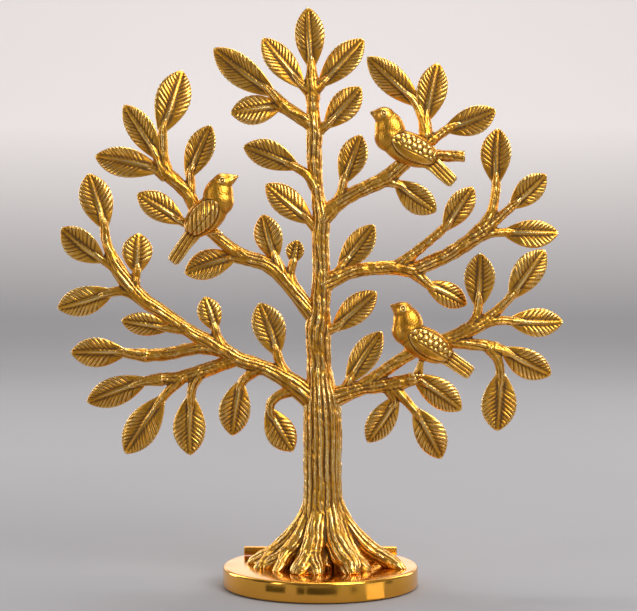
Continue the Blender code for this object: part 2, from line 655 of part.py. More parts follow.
# ---- the base and its fixings ----
def build_base(collection):
    """The turned disc, its felt, the rear bar and the screws, washer and dowel that fix them."""
    r, top, low = BASE_RADIUS, BASE_TOP, BASE_BOTTOM
    outline = [
        (0, RECESS_CEILING), (RECESS_RADIUS, RECESS_CEILING), (RECESS_RADIUS, low),
        *arc(r - BOTTOM_EDGE_RADIUS, low + BOTTOM_EDGE_RADIUS, BOTTOM_EDGE_RADIUS, -90, 0),
        *arc(r - TOP_EDGE_RADIUS, top - TOP_EDGE_RADIUS, TOP_EDGE_RADIUS, 0, 90),
        (0, top),
    ]
    disc = turned("base_disc", outline, POLISHED, collection, 60)
    turned("felt_pad", [(0, 0), (FELT_RADIUS, 0), (FELT_RADIUS, FELT_THICKNESS), (0, FELT_THICKNESS)],
           FELT, collection)

    bar_foot = BASE_TOP + GAP
    bar = place("rear_bar", wedge_mesh(
        "rear_bar", Vector((-BAR_LENGTH / 2, BAR_Y, bar_foot + BAR_HEIGHT / 2)),
        Vector((BAR_LENGTH / 2, BAR_Y, bar_foot + BAR_HEIGHT / 2)),
        BAR_HEIGHT, BAR_HEIGHT, BAR_DEPTH, BAR_DEPTH), collection, BRASS)

    disc_cuts = []
    bar_cuts = []
    for side, x in (("left", -BAR_SCREW_X), ("right", BAR_SCREW_X)):
        screw(f"bar_screw_{side}", x, BAR_Y, 2.0, BAR_SCREW_HEAD, BAR_SCREW_RADIUS, BAR_SCREW_TOP, collection)
        disc_cuts += screw_hole(x, BAR_Y, 3.8, BAR_SCREW_HEAD[0], BAR_SCREW_RADIUS)
        bar_cuts.append(rod_mesh("bar_bore", Vector((x, BAR_Y, bar_foot - 1)),
                                 Vector((x, BAR_Y, BAR_SCREW_TOP + GAP)), BAR_SCREW_RADIUS + GAP))
    boolean(bar, "DIFFERENCE", helper_collection("bar_bores", bar_cuts))

    screw("trunk_screw", SCREW_X, 0, 2.1, SCREW_HEAD, SCREW_RADIUS, SCREW_TOP, collection)
    washer = turned("trunk_washer", [
        (SCREW_RADIUS + GAP, WASHER_FOOT), (WASHER_RADIUS, WASHER_FOOT),
        (WASHER_RADIUS, WASHER_FOOT + 1.0), (SCREW_RADIUS + GAP, WASHER_FOOT + 1.0),
    ], STEEL, collection, 24)
    washer.location.x = SCREW_X * MM
    disc_cuts += screw_hole(SCREW_X, 0, WASHER_FOOT + 1.0 + GAP, WASHER_RADIUS, SCREW_RADIUS)

    place("trunk_dowel", rod_mesh("trunk_dowel", Vector((DOWEL_X, 0, DOWEL_FOOT)),
                                  Vector((DOWEL_X, 0, DOWEL_TOP)), DOWEL_RADIUS), collection, STEEL)
    disc_cuts.append(rod_mesh("dowel_hole", Vector((DOWEL_X, 0, DOWEL_FOOT - GAP)),
                              Vector((DOWEL_X, 0, BASE_TOP + 1)), DOWEL_RADIUS + GAP))
    boolean(disc, "DIFFERENCE", helper_collection("disc_holes", disc_cuts))


def screw(name, x, y, foot, head, radius, top, collection):
    """A cap screw standing head down, with a hexagon socket in its head."""
    head_radius, head_height = head
    obj = turned(name, [
        (0, foot), (head_radius, foot), (head_radius, foot + head_height), (radius, foot + head_height),
        (radius, top - radius * 0.4), (radius * 0.6, top), (0, top),
    ], STEEL, collection, 16)
    obj.location = (x * MM, y * MM, 0)
    hexagon = rod_mesh("hexagon", Vector((x, y, foot - 0.5)), Vector((x, y, foot + head_height * 0.55)),
                       head_radius * 0.5, sides=6)
    boolean(obj, "DIFFERENCE", helper_collection(f"socket_of_{name}", [hexagon]))


def screw_hole(x, y, seat, head_radius, radius):
    """The cutters for a counterbore up to the seat and a clearance hole on through the disc."""
    below = RECESS_CEILING - 1
    return [
        rod_mesh("counterbore", Vector((x, y, below)), Vector((x, y, seat)), head_radius + 0.5, sides=24),
        rod_mesh("clearance", Vector((x, y, below)), Vector((x, y, BASE_TOP + 1)), radius + GAP, sides=16),
    ]


def main():
    clear_scene()
    collection = new_collection("tree_of_life")
    build_base(collection)
    Tree(collection).build_castings()


if __name__ == "__main__":
    main()
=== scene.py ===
"""Finishes the tree of life: antique gold castings with veined leaves, bark grain and feathered birds.

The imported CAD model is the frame. Each casting is modelled here in full detail and stands in for its
CAD node. Lengths in the tables are millimetres and MM turns them into metres; the front faces -Y.
"""

import json  # noqa: E402
import math  # noqa: E402
from collections import namedtuple  # noqa: E402

import bmesh  # noqa: E402
import bpy  # noqa: E402
import numpy as np  # noqa: E402
from bpy.props import FloatProperty, FloatVectorProperty, PointerProperty  # noqa: E402
from mathutils import Matrix, Vector  # noqa: E402

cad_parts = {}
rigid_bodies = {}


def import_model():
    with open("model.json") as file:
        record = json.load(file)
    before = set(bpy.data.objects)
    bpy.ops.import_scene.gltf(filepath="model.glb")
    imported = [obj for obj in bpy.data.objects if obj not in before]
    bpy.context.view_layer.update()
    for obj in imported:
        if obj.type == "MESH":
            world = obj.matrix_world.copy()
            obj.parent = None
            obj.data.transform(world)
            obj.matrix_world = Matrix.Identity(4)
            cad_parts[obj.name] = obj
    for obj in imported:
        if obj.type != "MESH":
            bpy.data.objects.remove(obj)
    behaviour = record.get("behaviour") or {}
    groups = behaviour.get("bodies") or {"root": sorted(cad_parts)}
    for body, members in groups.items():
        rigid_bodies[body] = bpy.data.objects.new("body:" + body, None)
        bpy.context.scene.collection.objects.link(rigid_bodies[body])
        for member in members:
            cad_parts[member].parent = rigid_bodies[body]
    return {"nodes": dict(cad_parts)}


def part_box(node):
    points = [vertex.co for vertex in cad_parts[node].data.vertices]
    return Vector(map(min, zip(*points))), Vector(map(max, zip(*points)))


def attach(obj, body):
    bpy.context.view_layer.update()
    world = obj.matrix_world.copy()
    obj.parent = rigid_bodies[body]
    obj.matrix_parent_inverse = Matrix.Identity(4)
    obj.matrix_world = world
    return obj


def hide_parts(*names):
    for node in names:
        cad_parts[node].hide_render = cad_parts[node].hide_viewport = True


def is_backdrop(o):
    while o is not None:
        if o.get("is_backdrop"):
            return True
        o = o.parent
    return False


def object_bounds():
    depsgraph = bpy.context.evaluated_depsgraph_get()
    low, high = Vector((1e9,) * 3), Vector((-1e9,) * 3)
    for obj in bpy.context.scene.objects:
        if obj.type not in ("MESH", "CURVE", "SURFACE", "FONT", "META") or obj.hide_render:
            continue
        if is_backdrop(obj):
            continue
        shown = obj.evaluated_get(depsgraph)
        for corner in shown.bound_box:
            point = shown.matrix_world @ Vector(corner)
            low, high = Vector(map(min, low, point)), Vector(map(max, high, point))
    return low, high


bl_info = {
    "name": "Tree of life",
    "version": (1, 0, 0),
    "blender": (4, 5, 0),
    "location": "View3D > Sidebar > Tree",
    "description": "Models and finishes a cast tree of life with three birds on a polished round base",
    "category": "Add Mesh",
}

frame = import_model()
CAD_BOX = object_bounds()

MM = 0.001

# ---- the tree's tables: (x, z, radius) along the wood, (x, z) along a stem ----
Leaf = namedtuple("Leaf", "stem tip width roll tilt", defaults=(0, 0))
Casting = namedtuple("Casting", "name parent lean wood leaves")
Bird = namedtuple("Bird", "name limb depth beak head breast rump tail_root tail_end tail_width foot")
TRUNK = [
    (1.3, 6, 13.2), (1.3, 24, 12.9), (1.3, 36, 11.4), (1.2, 47, 10.2), (1, 61, 9.9), (1, 81, 10.1),
    (0.9, 91, 9.9), (0.4, 99, 9), (-0.2, 107, 7.3), (-0.8, 115, 6.4),
]
LEADER = [
    (-0.6, 112, 6.3), (-1, 125, 6.4), (-1.2, 136, 6.7), (-0.6, 146, 5.7), (0.4, 155, 5.1), (0.3, 169, 4.5),
    (0, 183, 4.7), (0.4, 193, 4.6), (-1.2, 203, 3.5), (-2.4, 213, 3.6), (-3.2, 223, 4), (-3.2, 237, 4.2),
    (-3.8, 247, 3.5), (-4, 255, 3.4),
]
# A root: its compass angle in degrees from +X, its reach from the trunk's axis, and its radius.
ROOTS = [
    (182, 37, 4.6), (204, 32, 4.2), (250, 29, 6), (306, 30, 6.5), (350, 42, 4.4), (28, 33, 4.2),
    (75, 21.5, 4.6), (140, 28, 4.6),
]

CASTINGS = [
    Casting("crown_spray", "leader", 0, [
        [(-4, 253, 3.7), (-4.2, 259, 4.1), (-4.4, 265, 3.5)],
    ], [
        Leaf([(-4.3, 261), (-4.8, 273)], (-6.5, 301), 15.7, 4),
        Leaf([(-4.5, 257), (-11, 262.5)], (-30, 285.5), 15.2, -14, 0.12),
        Leaf([(-3.5, 258), (2, 263)], (22.5, 285), 15.7, 14, 0.12),
    ]),
    Casting("high_left_twig", "leader", 0.05, [
        [(-3.2, 239, 3.6), (-12, 245.5, 3.5), (-20, 250.5, 3.6)],
    ], [
        Leaf([(-19, 250), (-27, 258.8)], (-55.5, 280.3), 16.2, 12, 0.08),
        Leaf([(-17, 249.5), (-23, 250)], (-46.5, 246.5), 16.2, -12, -0.1),
    ]),
    Casting("high_right_leaf", "leader", -0.06, [], [
        Leaf([(-3, 236.5), (4.5, 241.5)], (21, 260), 15.2, 10),
    ]),
    Casting("upper_left_leaf", "leader", -0.05, [], [
        Leaf([(-2, 208), (-7, 215), (-14.5, 219.5)], (-40, 229.5), 15.2, 10),
    ]),
    Casting("middle_left_leaf", "leader", 0.05, [], [
        Leaf([(0, 185), (-7, 192)], (-28.5, 210), 15.2, -8),
    ]),
    Casting("upper_right_limb", "leader", -0.05, [
        [(0.3, 191, 4.7), (8, 199, 4.1), (16, 204.5, 3.8), (26, 209, 3.9), (34, 213, 4.2), (41, 219, 3.9),
         (48, 225, 3.6), (52, 229, 3.6)],
        [(49, 226, 3.2), (62, 224.5, 3.1), (74.5, 224.2, 2.9)],
    ], [
        Leaf([(9.5, 200), (11, 206), (12.5, 213)], (21, 235.5), 15.2, 12),
        Leaf([(34, 212), (41, 209.5)], (60, 195.5), 15.2, -10),
    ]),
    Casting("upper_right_spray", "upper_right_limb", 0.06, [
        [(51, 228, 3.5), (54, 232, 3.5), (55, 237, 3.4)],
    ], [
        Leaf([(54.5, 234), (52.5, 244), (48.5, 253)], (24, 275.5), 15.2, 12),
        Leaf([(54.8, 235), (54.5, 245)], (60.5, 272.5), 16.2, -6),
        Leaf([(54.5, 231), (61, 235), (67, 239)], (90.5, 248), 15.2, 10, -0.1),
    ]),
    Casting("right_limb", "leader", 0.05, [
        [(0.4, 157, 5.1), (8, 161.5, 4.4), (16, 164.5, 3.8), (28, 166.2, 3.6), (40, 166.5, 3.9),
         (48, 165.5, 4.1), (56, 168.5, 3.7)],
    ], [
        Leaf([(8, 161), (11.5, 168)], (28, 189), 14.7, 12),
        Leaf([(41, 167.5), (50, 175), (58, 181.5), (66, 188.5)], (79.5, 208.5), 14.2, -12),
        Leaf([(49, 164), (57, 157)], (76.5, 147), 13.2, 8, 0.1),
    ]),
    Casting("right_spray", "right_limb", 0.04, [
        [(55, 168.1, 3.9), (66, 173, 3.9), (76, 179, 4.1), (84, 185.5, 4.6)],
    ], [
        Leaf([(83, 185), (89, 195), (91, 205), (91.5, 213)], (92.3, 239), 16.2, 6),
        Leaf([(85, 186), (93, 192.5), (101, 199.5)], (117.5, 215), 14.7, -14),
        Leaf([(80, 182), (89, 184.5), (98, 184.8)], (124, 184.5), 15.2, 10, -0.08),
    ]),
    Casting("middle_right_leaf", "leader", -0.06, [], [
        Leaf([(-1, 132), (8.8, 136.2)], (29.3, 154.2), 14.7, 12),
    ]),
    Casting("lower_right_limb", "trunk_and_roots", -0.05, [
        [(1, 96, 6.1), (13, 101.3, 4.9), (22, 104.2, 4.1), (31, 105.3, 4), (38, 106, 4), (50, 109.3, 3.3)],
        [(20, 104, 3.5), (31, 111.5, 3.4), (42, 119, 3.4), (52, 125, 3.4), (62, 128.5, 3.4)],
    ], [
        Leaf([(13, 102), (16, 109.5)], (32, 133.5), 14.7, 12),
        Leaf([(46, 108.5), (51, 108.5)], (73.5, 92.5), 15.7, -10),
        Leaf([(35, 105), (38.5, 97)], (24.5, 75.5), 14.7, 10),
        Leaf([(37, 105), (45, 97), (50.5, 90.5)], (63, 67), 16.2, -10),
    ]),
    Casting("lower_right_spray", "lower_right_limb", 0.02, [
        [(61, 128.2, 3.6), (69, 130.5, 3.8), (77, 134.5, 4.1), (84, 138, 3.9)],
        [(65, 128.8, 3.5), (76, 127.3, 3.2), (85, 126.4, 3.2), (91, 124.8, 3.3)],
    ], [
        Leaf([(77, 134), (81, 141), (82, 149)], (82.5, 174.5), 16.2, 8, -0.12),
        Leaf([(82, 137), (91.45, 144.25), (100.4, 153.5)], (116.4, 176), 16.5, -10),
        Leaf([(82, 137.5), (91, 139.2), (100.5, 139)], (126, 138.5), 15.2, 12),
        Leaf([(90, 125), (97, 123)], (120, 111), 16.2, -12),
        Leaf([(88, 125.5), (92.5, 118), (93.6, 109)], (92, 81.5), 18.7, 4),
    ]),
    Casting("left_limb", "leader", 0.04, [
        [(-1, 138, 4.9), (-8, 147, 4.4), (-14, 155, 4.2), (-21, 163, 4.1), (-29, 168.7, 4),
         (-38, 171.5, 3.9), (-45, 175.5, 3.5), (-52, 181, 3.3), (-58, 186.5, 3.3), (-63, 191.5, 3.4)],
    ], [
        Leaf([(-20, 163), (-24, 173)], (-30, 194.3), 15.2, 8),
        Leaf([(-14, 155), (-15.5, 163), (-14, 170)], (-11.8, 181), 9.7, 0),
        Leaf([(-38, 171), (-46.5, 171.5)], (-70.8, 163.5), 15.7, -10),
    ]),
    Casting("left_spray", "left_limb", -0.05, [
        [(-62.5, 191, 3.25), (-65, 194.3, 3.4), (-65.8, 199, 3.6), (-69.3, 205.5, 3.6), (-74.8, 211, 3.7),
         (-80.8, 216, 3.8)],
    ], [
        Leaf([(-65, 194), (-68.4, 189.5), (-73.8, 191.5)], (-95.3, 205), 14.7, -10),
        Leaf([(-68.5, 203), (-67.4, 210), (-67.6, 216)], (-56.8, 240.5), 15.2, 12),
        Leaf([(-80, 214), (-86.8, 218)], (-117.3, 224.5), 16.2, -14, 0.1),
        Leaf([(-81, 215), (-85.3, 225.5)], (-101.8, 251), 14.7, 12),
        Leaf([(-79, 214), (-80.9, 222), (-81.7, 231), (-81.3, 240)], (-71.8, 269), 18.5, -8, 0.15),
    ]),
    Casting("lower_left_limb", "trunk_and_roots", -0.04, [
        [(0, 95, 6.7), (-11, 103.5, 5.7), (-19, 109.5, 4.7), (-27, 113.5, 4.2), (-35, 116.5, 4),
         (-43, 119.3, 4.1), (-50, 123.5, 4.1), (-58, 128.3, 3.9), (-66, 132.5, 3.7), (-75, 138.5, 3.6)],
    ], [
        Leaf([(-16, 108), (-20.6, 116), (-23.2, 124)], (-31.7, 148.5), 17.2, -6),
        Leaf([(-31, 114.5), (-38, 110), (-42, 104.5)], (-46, 79), 16.7, 6),
        Leaf([(-51, 124.5), (-53.8, 131), (-54.9, 136)], (-60.1, 151.7), 12.7, -10),
        Leaf([(-70, 135.5), (-81, 135.5)], (-103, 139.5), 12.7, 12, -0.12),
    ]),
    Casting("long_left_twig", "lower_left_limb", 0.04, [
        [(-51, 123.5, 3.7), (-60, 125, 3.5), (-70, 123.8, 3.4), (-80, 121.6, 3.4), (-92, 120.8, 3.3)],
    ], [
        Leaf([(-90, 120.9), (-104, 122.5)], (-130, 122.5), 16, 8),
    ]),
    Casting("lower_left_outer_spray", "lower_left_limb", -0.02, [
        [(-74, 137.8, 3.45), (-84, 144.8, 3.8), (-92, 150.5, 4), (-98, 156.5, 4.2), (-103, 163, 4),
         (-107.5, 171, 3.6)],
    ], [
        Leaf([(-95, 153), (-103, 154.8), (-110.5, 153.5)], (-136.5, 145.5), 15.7, 10, 0.08),
        Leaf([(-97, 155.5), (-95.8, 161), (-95, 166)], (-94, 184.8), 16.2, -14),
        Leaf([(-102, 162), (-108, 168), (-114.5, 172)], (-133.5, 187.5), 16.7, 12, -0.1),
        Leaf([(-107, 170), (-110.5, 180), (-112, 190)], (-119.8, 215.5), 17.2, -6),
    ]),
    Casting("lower_left_hanging_spray", "lower_left_limb", -0.06, [
        [(-44, 119, 3.7), (-52, 116.2, 3.6), (-62, 112.6, 3.8), (-74, 109.6, 3.3), (-84, 108.8, 3.1)],
    ], [
        Leaf([(-82, 108.8), (-93, 107.6)], (-121.3, 97), 15.7, 10),
        Leaf([(-72, 109.8), (-78, 103.5), (-84, 96.5)], (-101.5, 70), 17.7, -8),
        Leaf([(-63, 112), (-66.55, 104.5), (-67.4, 97)], (-67.8, 69), 17.2, 6),
    ]),
    Casting("curled_leaf", "lower_left_limb", -0.08, [], [
        Leaf([(-12, 103), (-20, 100.8), (-25.5, 96.5), (-26, 91)], (-14.3, 70.8), 15.7, 6),
    ]),
]

BIRDS = [
    Bird("upper_right_bird", "upper_right_limb", -5, (25.3, 246.8), (33, 244.8), (37, 231.5), (55, 224.5),
         (61, 221), (69, 210.5), 7, (42, 220)),
    Bird("lower_right_bird", "lower_right_limb", -5, (36, 147.5), (43, 144.2), (46, 131.5), (63, 123),
         (69, 119.5), (78.5, 111.5), 7.5, (50.5, 110.5)),
    Bird("left_bird", "left_limb", -5, (-42, 214.3), (-50.8, 210.5), (-53.5, 198.5), (-64.5, 188.5),
         (-70, 183.5), (-77, 169.5), 6.8, (-54, 184)),
]
SIDE_ROOTS = [(276, 19, 2.6), (330, 27, 3.2), (160, 25, 3.0), (52, 24, 3.0), (108, 24, 3.0), (228, 22, 2.8)]

STEM_RADIUS = 3.0
STEM_TIP_SHARE = 0.75  # a stem's radius at the blade, as a share of its radius at the limb
WEDGE_SHARE = 0.12  # how far back over its stem a blade begins, as a share of its length
STEM_FLARE = 1.25  # how much thicker a stem is where it springs from the limb
BASE_TOP = 11.0
ROOT_CUT = BASE_TOP + 0.15  # where the roots are cut off flat, just above the disc
IN_LINE = 3.5  # castings whose ends lie closer than this run on into each other
FRAME_WIDTH = 0.3312  # width that the camera takes in at the tree, in metres
SENSOR_WIDTH = 36

CASTING = {c.name: c for c in CASTINGS}
LEAF_NUMBER = {}
for _casting in CASTINGS:
    LEAF_NUMBER[_casting.name] = sum(len(CASTING[name].leaves) for name in LEAF_NUMBER)


# ---- numbers ----
def smooth_step(values, low, high):
    share = np.clip((values - low) / (high - low), 0, 1)
    return share * share * (3 - 2 * share)


def ripple(points, wavelength, seed, waves=8):
    """Smooth seeded noise of about -1 to 1 over points in millimetres."""
    rng = np.random.default_rng(seed)
    axes = rng.normal(size=(points.shape[1], waves))
    axes *= 2 * math.pi / (wavelength * rng.uniform(0.7, 1.6, waves) * np.linalg.norm(axes, axis=0))
    return np.sin(points @ axes + rng.uniform(0, 2 * math.pi, waves)).sum(1) / math.sqrt(waves)


def smooth_route(points, step=1.0):
    """An array of points on a Catmull-Rom curve through the given ones, about step apart."""
    points = [np.array(p, float) for p in points]
    padded = [2 * points[0] - points[1], *points, 2 * points[-1] - points[-2]]
    found = [points[0]]
    for before, start, end, after in zip(padded, padded[1:], padded[2:], padded[3:]):
        count = max(1, round(float(np.linalg.norm((end - start)[:3])) / step))
        for i in range(1, count + 1):
            t = i / count
            found.append(0.5 * (
                2 * start + (end - before) * t
                + (2 * before - 5 * start + 4 * end - after) * t ** 2
                + (3 * start - before - 3 * end + after) * t ** 3
            ))
    return np.array(found)


# ---- the tree's layout: the same as the CAD model's ----
def start_of(name):
    c = CASTING[name]
    return c.wood[0][0][:2] if c.wood else c.leaves[0].stem[0]


def depth_at(name, x, z):
    """The Y of a casting's middle plane at a point: limbs lean gently to the front or the back."""
    if name in ("leader", "trunk_and_roots"):
        return 0.0
    x0, z0 = start_of(name)
    return depth_at(CASTING[name].parent, x0, z0) + CASTING[name].lean * math.hypot(x - x0, z - z0)


def wood_points(name, wood):
    return [(x, depth_at(name, x, z), z, radius) for x, z, radius in wood]


def leaf_ends(name, leaf):
    """The blade's base and tip."""
    (bx, bz), (tx, tz) = leaf.stem[-1], leaf.tip
    y = depth_at(name, bx, bz)
    base, tip = Vector((bx, y, bz)), Vector((tx, y + leaf.tilt * math.hypot(tx - bx, tz - bz), tz))
    return base.lerp(tip, -WEDGE_SHARE), tip


def stem_points(name, leaf):
    """The stem from the limb to the blade, thicker where it springs, and just into the blade."""
    base, tip = leaf_ends(name, leaf)
    count = len(leaf.stem)
    radii = [STEM_RADIUS * (1 - (1 - STEM_TIP_SHARE) * i / (count - 1)) for i in range(count)]
    radii[0] *= STEM_FLARE
    route = [(x, depth_at(name, x, z), z, radius) for (x, z), radius in zip(leaf.stem, radii)]
    return [*route, (*base.lerp(tip, 0.24), radii[-1] * 0.72), (*base.lerp(tip, 0.4), 0.35)]


def run_on(points, at_start, at_end, reach=3.0, share=0.72):
    """Runs a route on past its ends with a smaller radius, so that two castings in line blend."""
    points = [np.array(p, float) for p in points]
    for wanted, end, inner in ((at_start, 0, 1), (at_end, -1, -2)):
        if not wanted:
            continue
        onward = points[end] - points[inner]
        extra = points[end] + onward / np.linalg.norm(onward[:3]) * reach
        extra[3] = points[end][3] * share
        points.insert(0 if end == 0 else len(points), extra)
    return points


def in_line(point, points):
    return math.dist(point[:3], points[-1][:3]) < IN_LINE


def casting_routes(name):
    """Every route of a casting's wood and stems, as smooth arrays of (x, y, z, radius)."""
    if name == "trunk_and_roots":
        trunk = [(x, 0.0, z, r) for x, z, r in TRUNK]
        return [smooth_route(run_on(trunk, False, True)), *map(smooth_route, root_points())]
    if name == "leader":
        leader = [(x, 0.0, z, r) for x, z, r in LEADER]
        return [smooth_route(run_on(leader, True, True))]
    c = CASTING[name]
    if c.parent in CASTING:
        parents = [wood_points(c.parent, wood) for wood in CASTING[c.parent].wood]
    else:
        parents = [[(x, 0.0, z, r) for x, z, r in (LEADER if c.parent == "leader" else TRUNK)]]
    children = [start_of(other.name) for other in CASTINGS if other.parent == name]
    routes = []
    for wood in c.wood:
        points = wood_points(name, wood)
        from_end = wood is c.wood[0] and any(in_line(points[0], parent) for parent in parents)
        to_child = any(math.dist((wood[-1][0], wood[-1][1]), child) < IN_LINE for child in children)
        routes.append(smooth_route(run_on(points, from_end, to_child)))
    return routes + [smooth_route(stem_points(name, leaf)) for leaf in c.leaves]


def root_points():
    """Each root springs from the trunk's flare, runs down and out, and forks into two blunt toes."""
    axis_x = TRUNK[1][0]
    for number, (angle, reach, radius) in enumerate(ROOTS):
        rng = np.random.default_rng(50 + number)

        def at(share, height, swell, swing, angle=angle, reach=reach, radius=radius):
            turn = math.radians(angle + swing)
            return (axis_x + math.cos(turn) * reach * share, math.sin(turn) * reach * share,
                    height, radius * swell)

        swing = rng.uniform(-6, 6)
        body = [
            at(0.18, 48, 0.5, swing * 0.3), at(0.25, 38, 0.78, swing * 0.4),
            at(0.35, 30.5, 0.95, swing * 0.6), at(0.5, 24, 1.0, swing), at(0.65, 18.8, 1.0, swing * 0.6),
        ]
        yield [*body, at(0.82, 14.6, 0.95, -3), at(0.96, 12, 0.82, -6), at(1.05, 9.6, 0.5, -7)]
        yield [body[-2], body[-1], at(0.82, 13.6, 0.8, 11), at(0.93, 11, 0.66, 14), at(0.99, 9.4, 0.45, 15)]
    for angle, reach, radius in SIDE_ROOTS:
        turn = math.radians(angle)
        out_x, out_y = math.cos(turn) * reach, math.sin(turn) * reach
        yield [(axis_x + out_x * s, out_y * s, z, radius * swell)
               for s, z, swell in ((0.3, 44, 0.7), (0.45, 31, 1.0), (0.68, 20, 0.95), (0.95, 13, 0.8))]


# ---- Blender helpers ----
def select_only(*objects):
    """Selects just these, with the first active."""
    for obj in bpy.context.selected_objects:
        obj.select_set(False)
    for obj in objects:
        obj.select_set(True)
    bpy.context.view_layer.objects.active = objects[0] if objects else None


def add_shape(kind, location=(0, 0, 0), **values):
    """One of Blender's mesh primitives, the only thing selected."""
    select_only()
    getattr(bpy.ops.mesh, f"primitive_{kind}_add")(location=location, **values)
    return bpy.context.active_object


def cylinder_in_box(node, vertices):
    """An upright cylinder that fills a CAD node's box, and the box's corners."""
    low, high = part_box(node)
    obj = add_shape("cylinder", (0, 0, (low.z + high.z) / 2), vertices=vertices,
                    radius=(high.x - low.x) / 2, depth=high.z - low.z)
    bpy.ops.object.transform_apply(location=True)
    return obj, low, high


def edit_all():
    """Opens the active mesh for editing with all of it selected."""
    bpy.ops.object.mode_set(mode="EDIT")
    bpy.ops.mesh.select_all(action="SELECT")


def bevel(width, segments):
    bpy.ops.mesh.bevel(offset=width * MM, segments=segments, affect="EDGES")


def inset(width, times=1):
    for _ in range(times):
        bpy.ops.mesh.inset(thickness=width * MM)


def apply_modifier(obj, kind, **values):
    select_only(obj)
    modifier = obj.modifiers.new(kind.lower(), kind)
    for key, value in values.items():
        setattr(modifier, key, value)
    bpy.ops.object.modifier_apply(modifier=modifier.name)


def join(objects):
    select_only(*objects)
    bpy.ops.object.join()
    return objects[0]


def get_points(mesh):
    """The mesh's points in millimetres."""
    points = np.empty(len(mesh.vertices) * 3)
    mesh.vertices.foreach_get("co", points)
    return points.reshape(-1, 3) / MM


def set_points(mesh, points):
    mesh.vertices.foreach_set("co", (points * MM).ravel())
    mesh.update()


def get_normals(mesh):
    normals = np.empty(len(mesh.vertices) * 3)
    mesh.vertex_normals.foreach_get("vector", normals)
    return normals.reshape(-1, 3)


def tubes(name, routes):
    """Round tubes along routes of (x, y, z, radius), as one mesh object."""
    curve = bpy.data.curves.new(name, "CURVE")
    curve.dimensions = "3D"
    curve.bevel_depth = MM
    curve.bevel_resolution = 5
    curve.use_fill_caps = True
    for route in routes:
        spline = curve.splines.new("POLY")
        spline.points.add(len(route) - 1)
        spline.points.foreach_set("co", np.c_[route[:, :3] * MM, np.ones(len(route))].ravel())
        spline.points.foreach_set("radius", route[:, 3])
    obj = bpy.data.objects.new(name, curve)
    bpy.context.scene.collection.objects.link(obj)
    select_only(obj)
    bpy.ops.object.convert(target="MESH")
    return bpy.context.view_layer.objects.active


def melt(obj, voxel, passes):
    """Flows overlapping shells together into one skin, as wax does, and softens it."""
    size = voxel * 1.0
    apply_modifier(obj, "REMESH", mode="VOXEL", voxel_size=size * MM)
    apply_modifier(obj, "SMOOTH", factor=0.5, iterations=passes)


def bark(theta, radius, points, depth):
    """How far bark stands from a limb's skin, in millimetres: long wavering ridges with sharp grooves."""
    wander = (1.7 - 0.9 * smooth_step(radius, 6, 9)) * ripple(points, 22, 3)
    strength = np.clip(0.75 + 0.4 * ripple(points, 9, 5), 0.25, 1.2)
    fine_strength = np.clip(0.5 + 0.5 * ripple(points, 6, 8), 0, 1)
    height = np.zeros(len(theta))
    for count, low, high in ((7, -1.0, 3.6), (11, 3.6, 6.9), (19, 6.9, 99.0)):
        share = smooth_step(radius, low - 0.4, low + 0.4) * (1 - smooth_step(radius, high - 0.4, high + 0.4))
        ridge = np.abs(np.sin((count * theta + wander) / 2)) ** 0.6
        fine = np.abs(np.sin(((2 * count + 3) * theta + 1.3 * wander + 1) / 2)) ** 0.6
        height += share * ((ridge - 0.8) * strength + 0.45 * (fine - 0.8) * fine_strength)
    return height * depth * np.clip(radius, 1.2, 11.0) ** 0.75


def carve_bark(obj, routes, depth):
    """Carves bark along the routes, blended where they meet."""
    points, normals = get_points(obj.data), get_normals(obj.data)
    total, weights = np.zeros(len(points)), np.full(len(points), 1e-12)
    for route in routes:
        centres, radii = route[:, :3], route[:, 3]
        tangents = np.gradient(centres, axis=0)
        tangents /= np.linalg.norm(tangents, axis=1)[:, None]
        square = (points ** 2).sum(1)[:, None] - 2 * points @ centres.T + (centres ** 2).sum(1)
        near = np.argmin(np.sqrt(np.maximum(square, 0)) - radii, axis=1)
        tangent = tangents[near]
        offset = points - centres[near]
        offset -= (offset * tangent).sum(1)[:, None] * tangent
        back = np.array((0.0, 1.0, 0.0)) - tangent[:, 1:2] * tangent
        back /= np.maximum(np.linalg.norm(back, axis=1), 1e-6)[:, None]
        across = np.cross(tangent, back)
        theta = np.arctan2((offset * back).sum(1), (offset * across).sum(1))
        beyond = np.sqrt(np.maximum(square[np.arange(len(points)), near], 0)) - radii[near]
        weight = np.exp(-np.clip(beyond, -2, 25) / 0.7)
        total += weight * bark(theta, radii[near], points, depth)
        weights += weight
    lumps = (0.09 + 0.012 * radii.max()) * ripple(points, 5, 21) + 0.05 * ripple(points, 1.7, 22)
    set_points(obj.data, points + normals * (total / weights + lumps)[:, None])


def mark_relief(obj, spread=9, scale=0.22):
    """Stores how far each point stands above (1) or below (-1) the skin around it, for the patina."""
    mesh = obj.data
    points = get_points(mesh)
    edges = np.empty(len(mesh.edges) * 2, np.int64)
    mesh.edges.foreach_get("vertices", edges)
    first, second = edges[::2], edges[1::2]
    count = len(points)
    valence = np.maximum(np.bincount(edges, minlength=count), 1)
    around = points.copy()
    for _ in range(spread):
        around = np.stack([
            (np.bincount(first, around[second, axis], count)
             + np.bincount(second, around[first, axis], count)) / valence for axis in range(3)
        ], axis=1)
    height = ((points - around) * get_normals(mesh)).sum(1)
    height = np.clip((height - np.median(height)) / scale, -1, 1)
    attribute = mesh.attributes.new("relief", "FLOAT", "POINT")
    attribute.data.foreach_set("value", height)


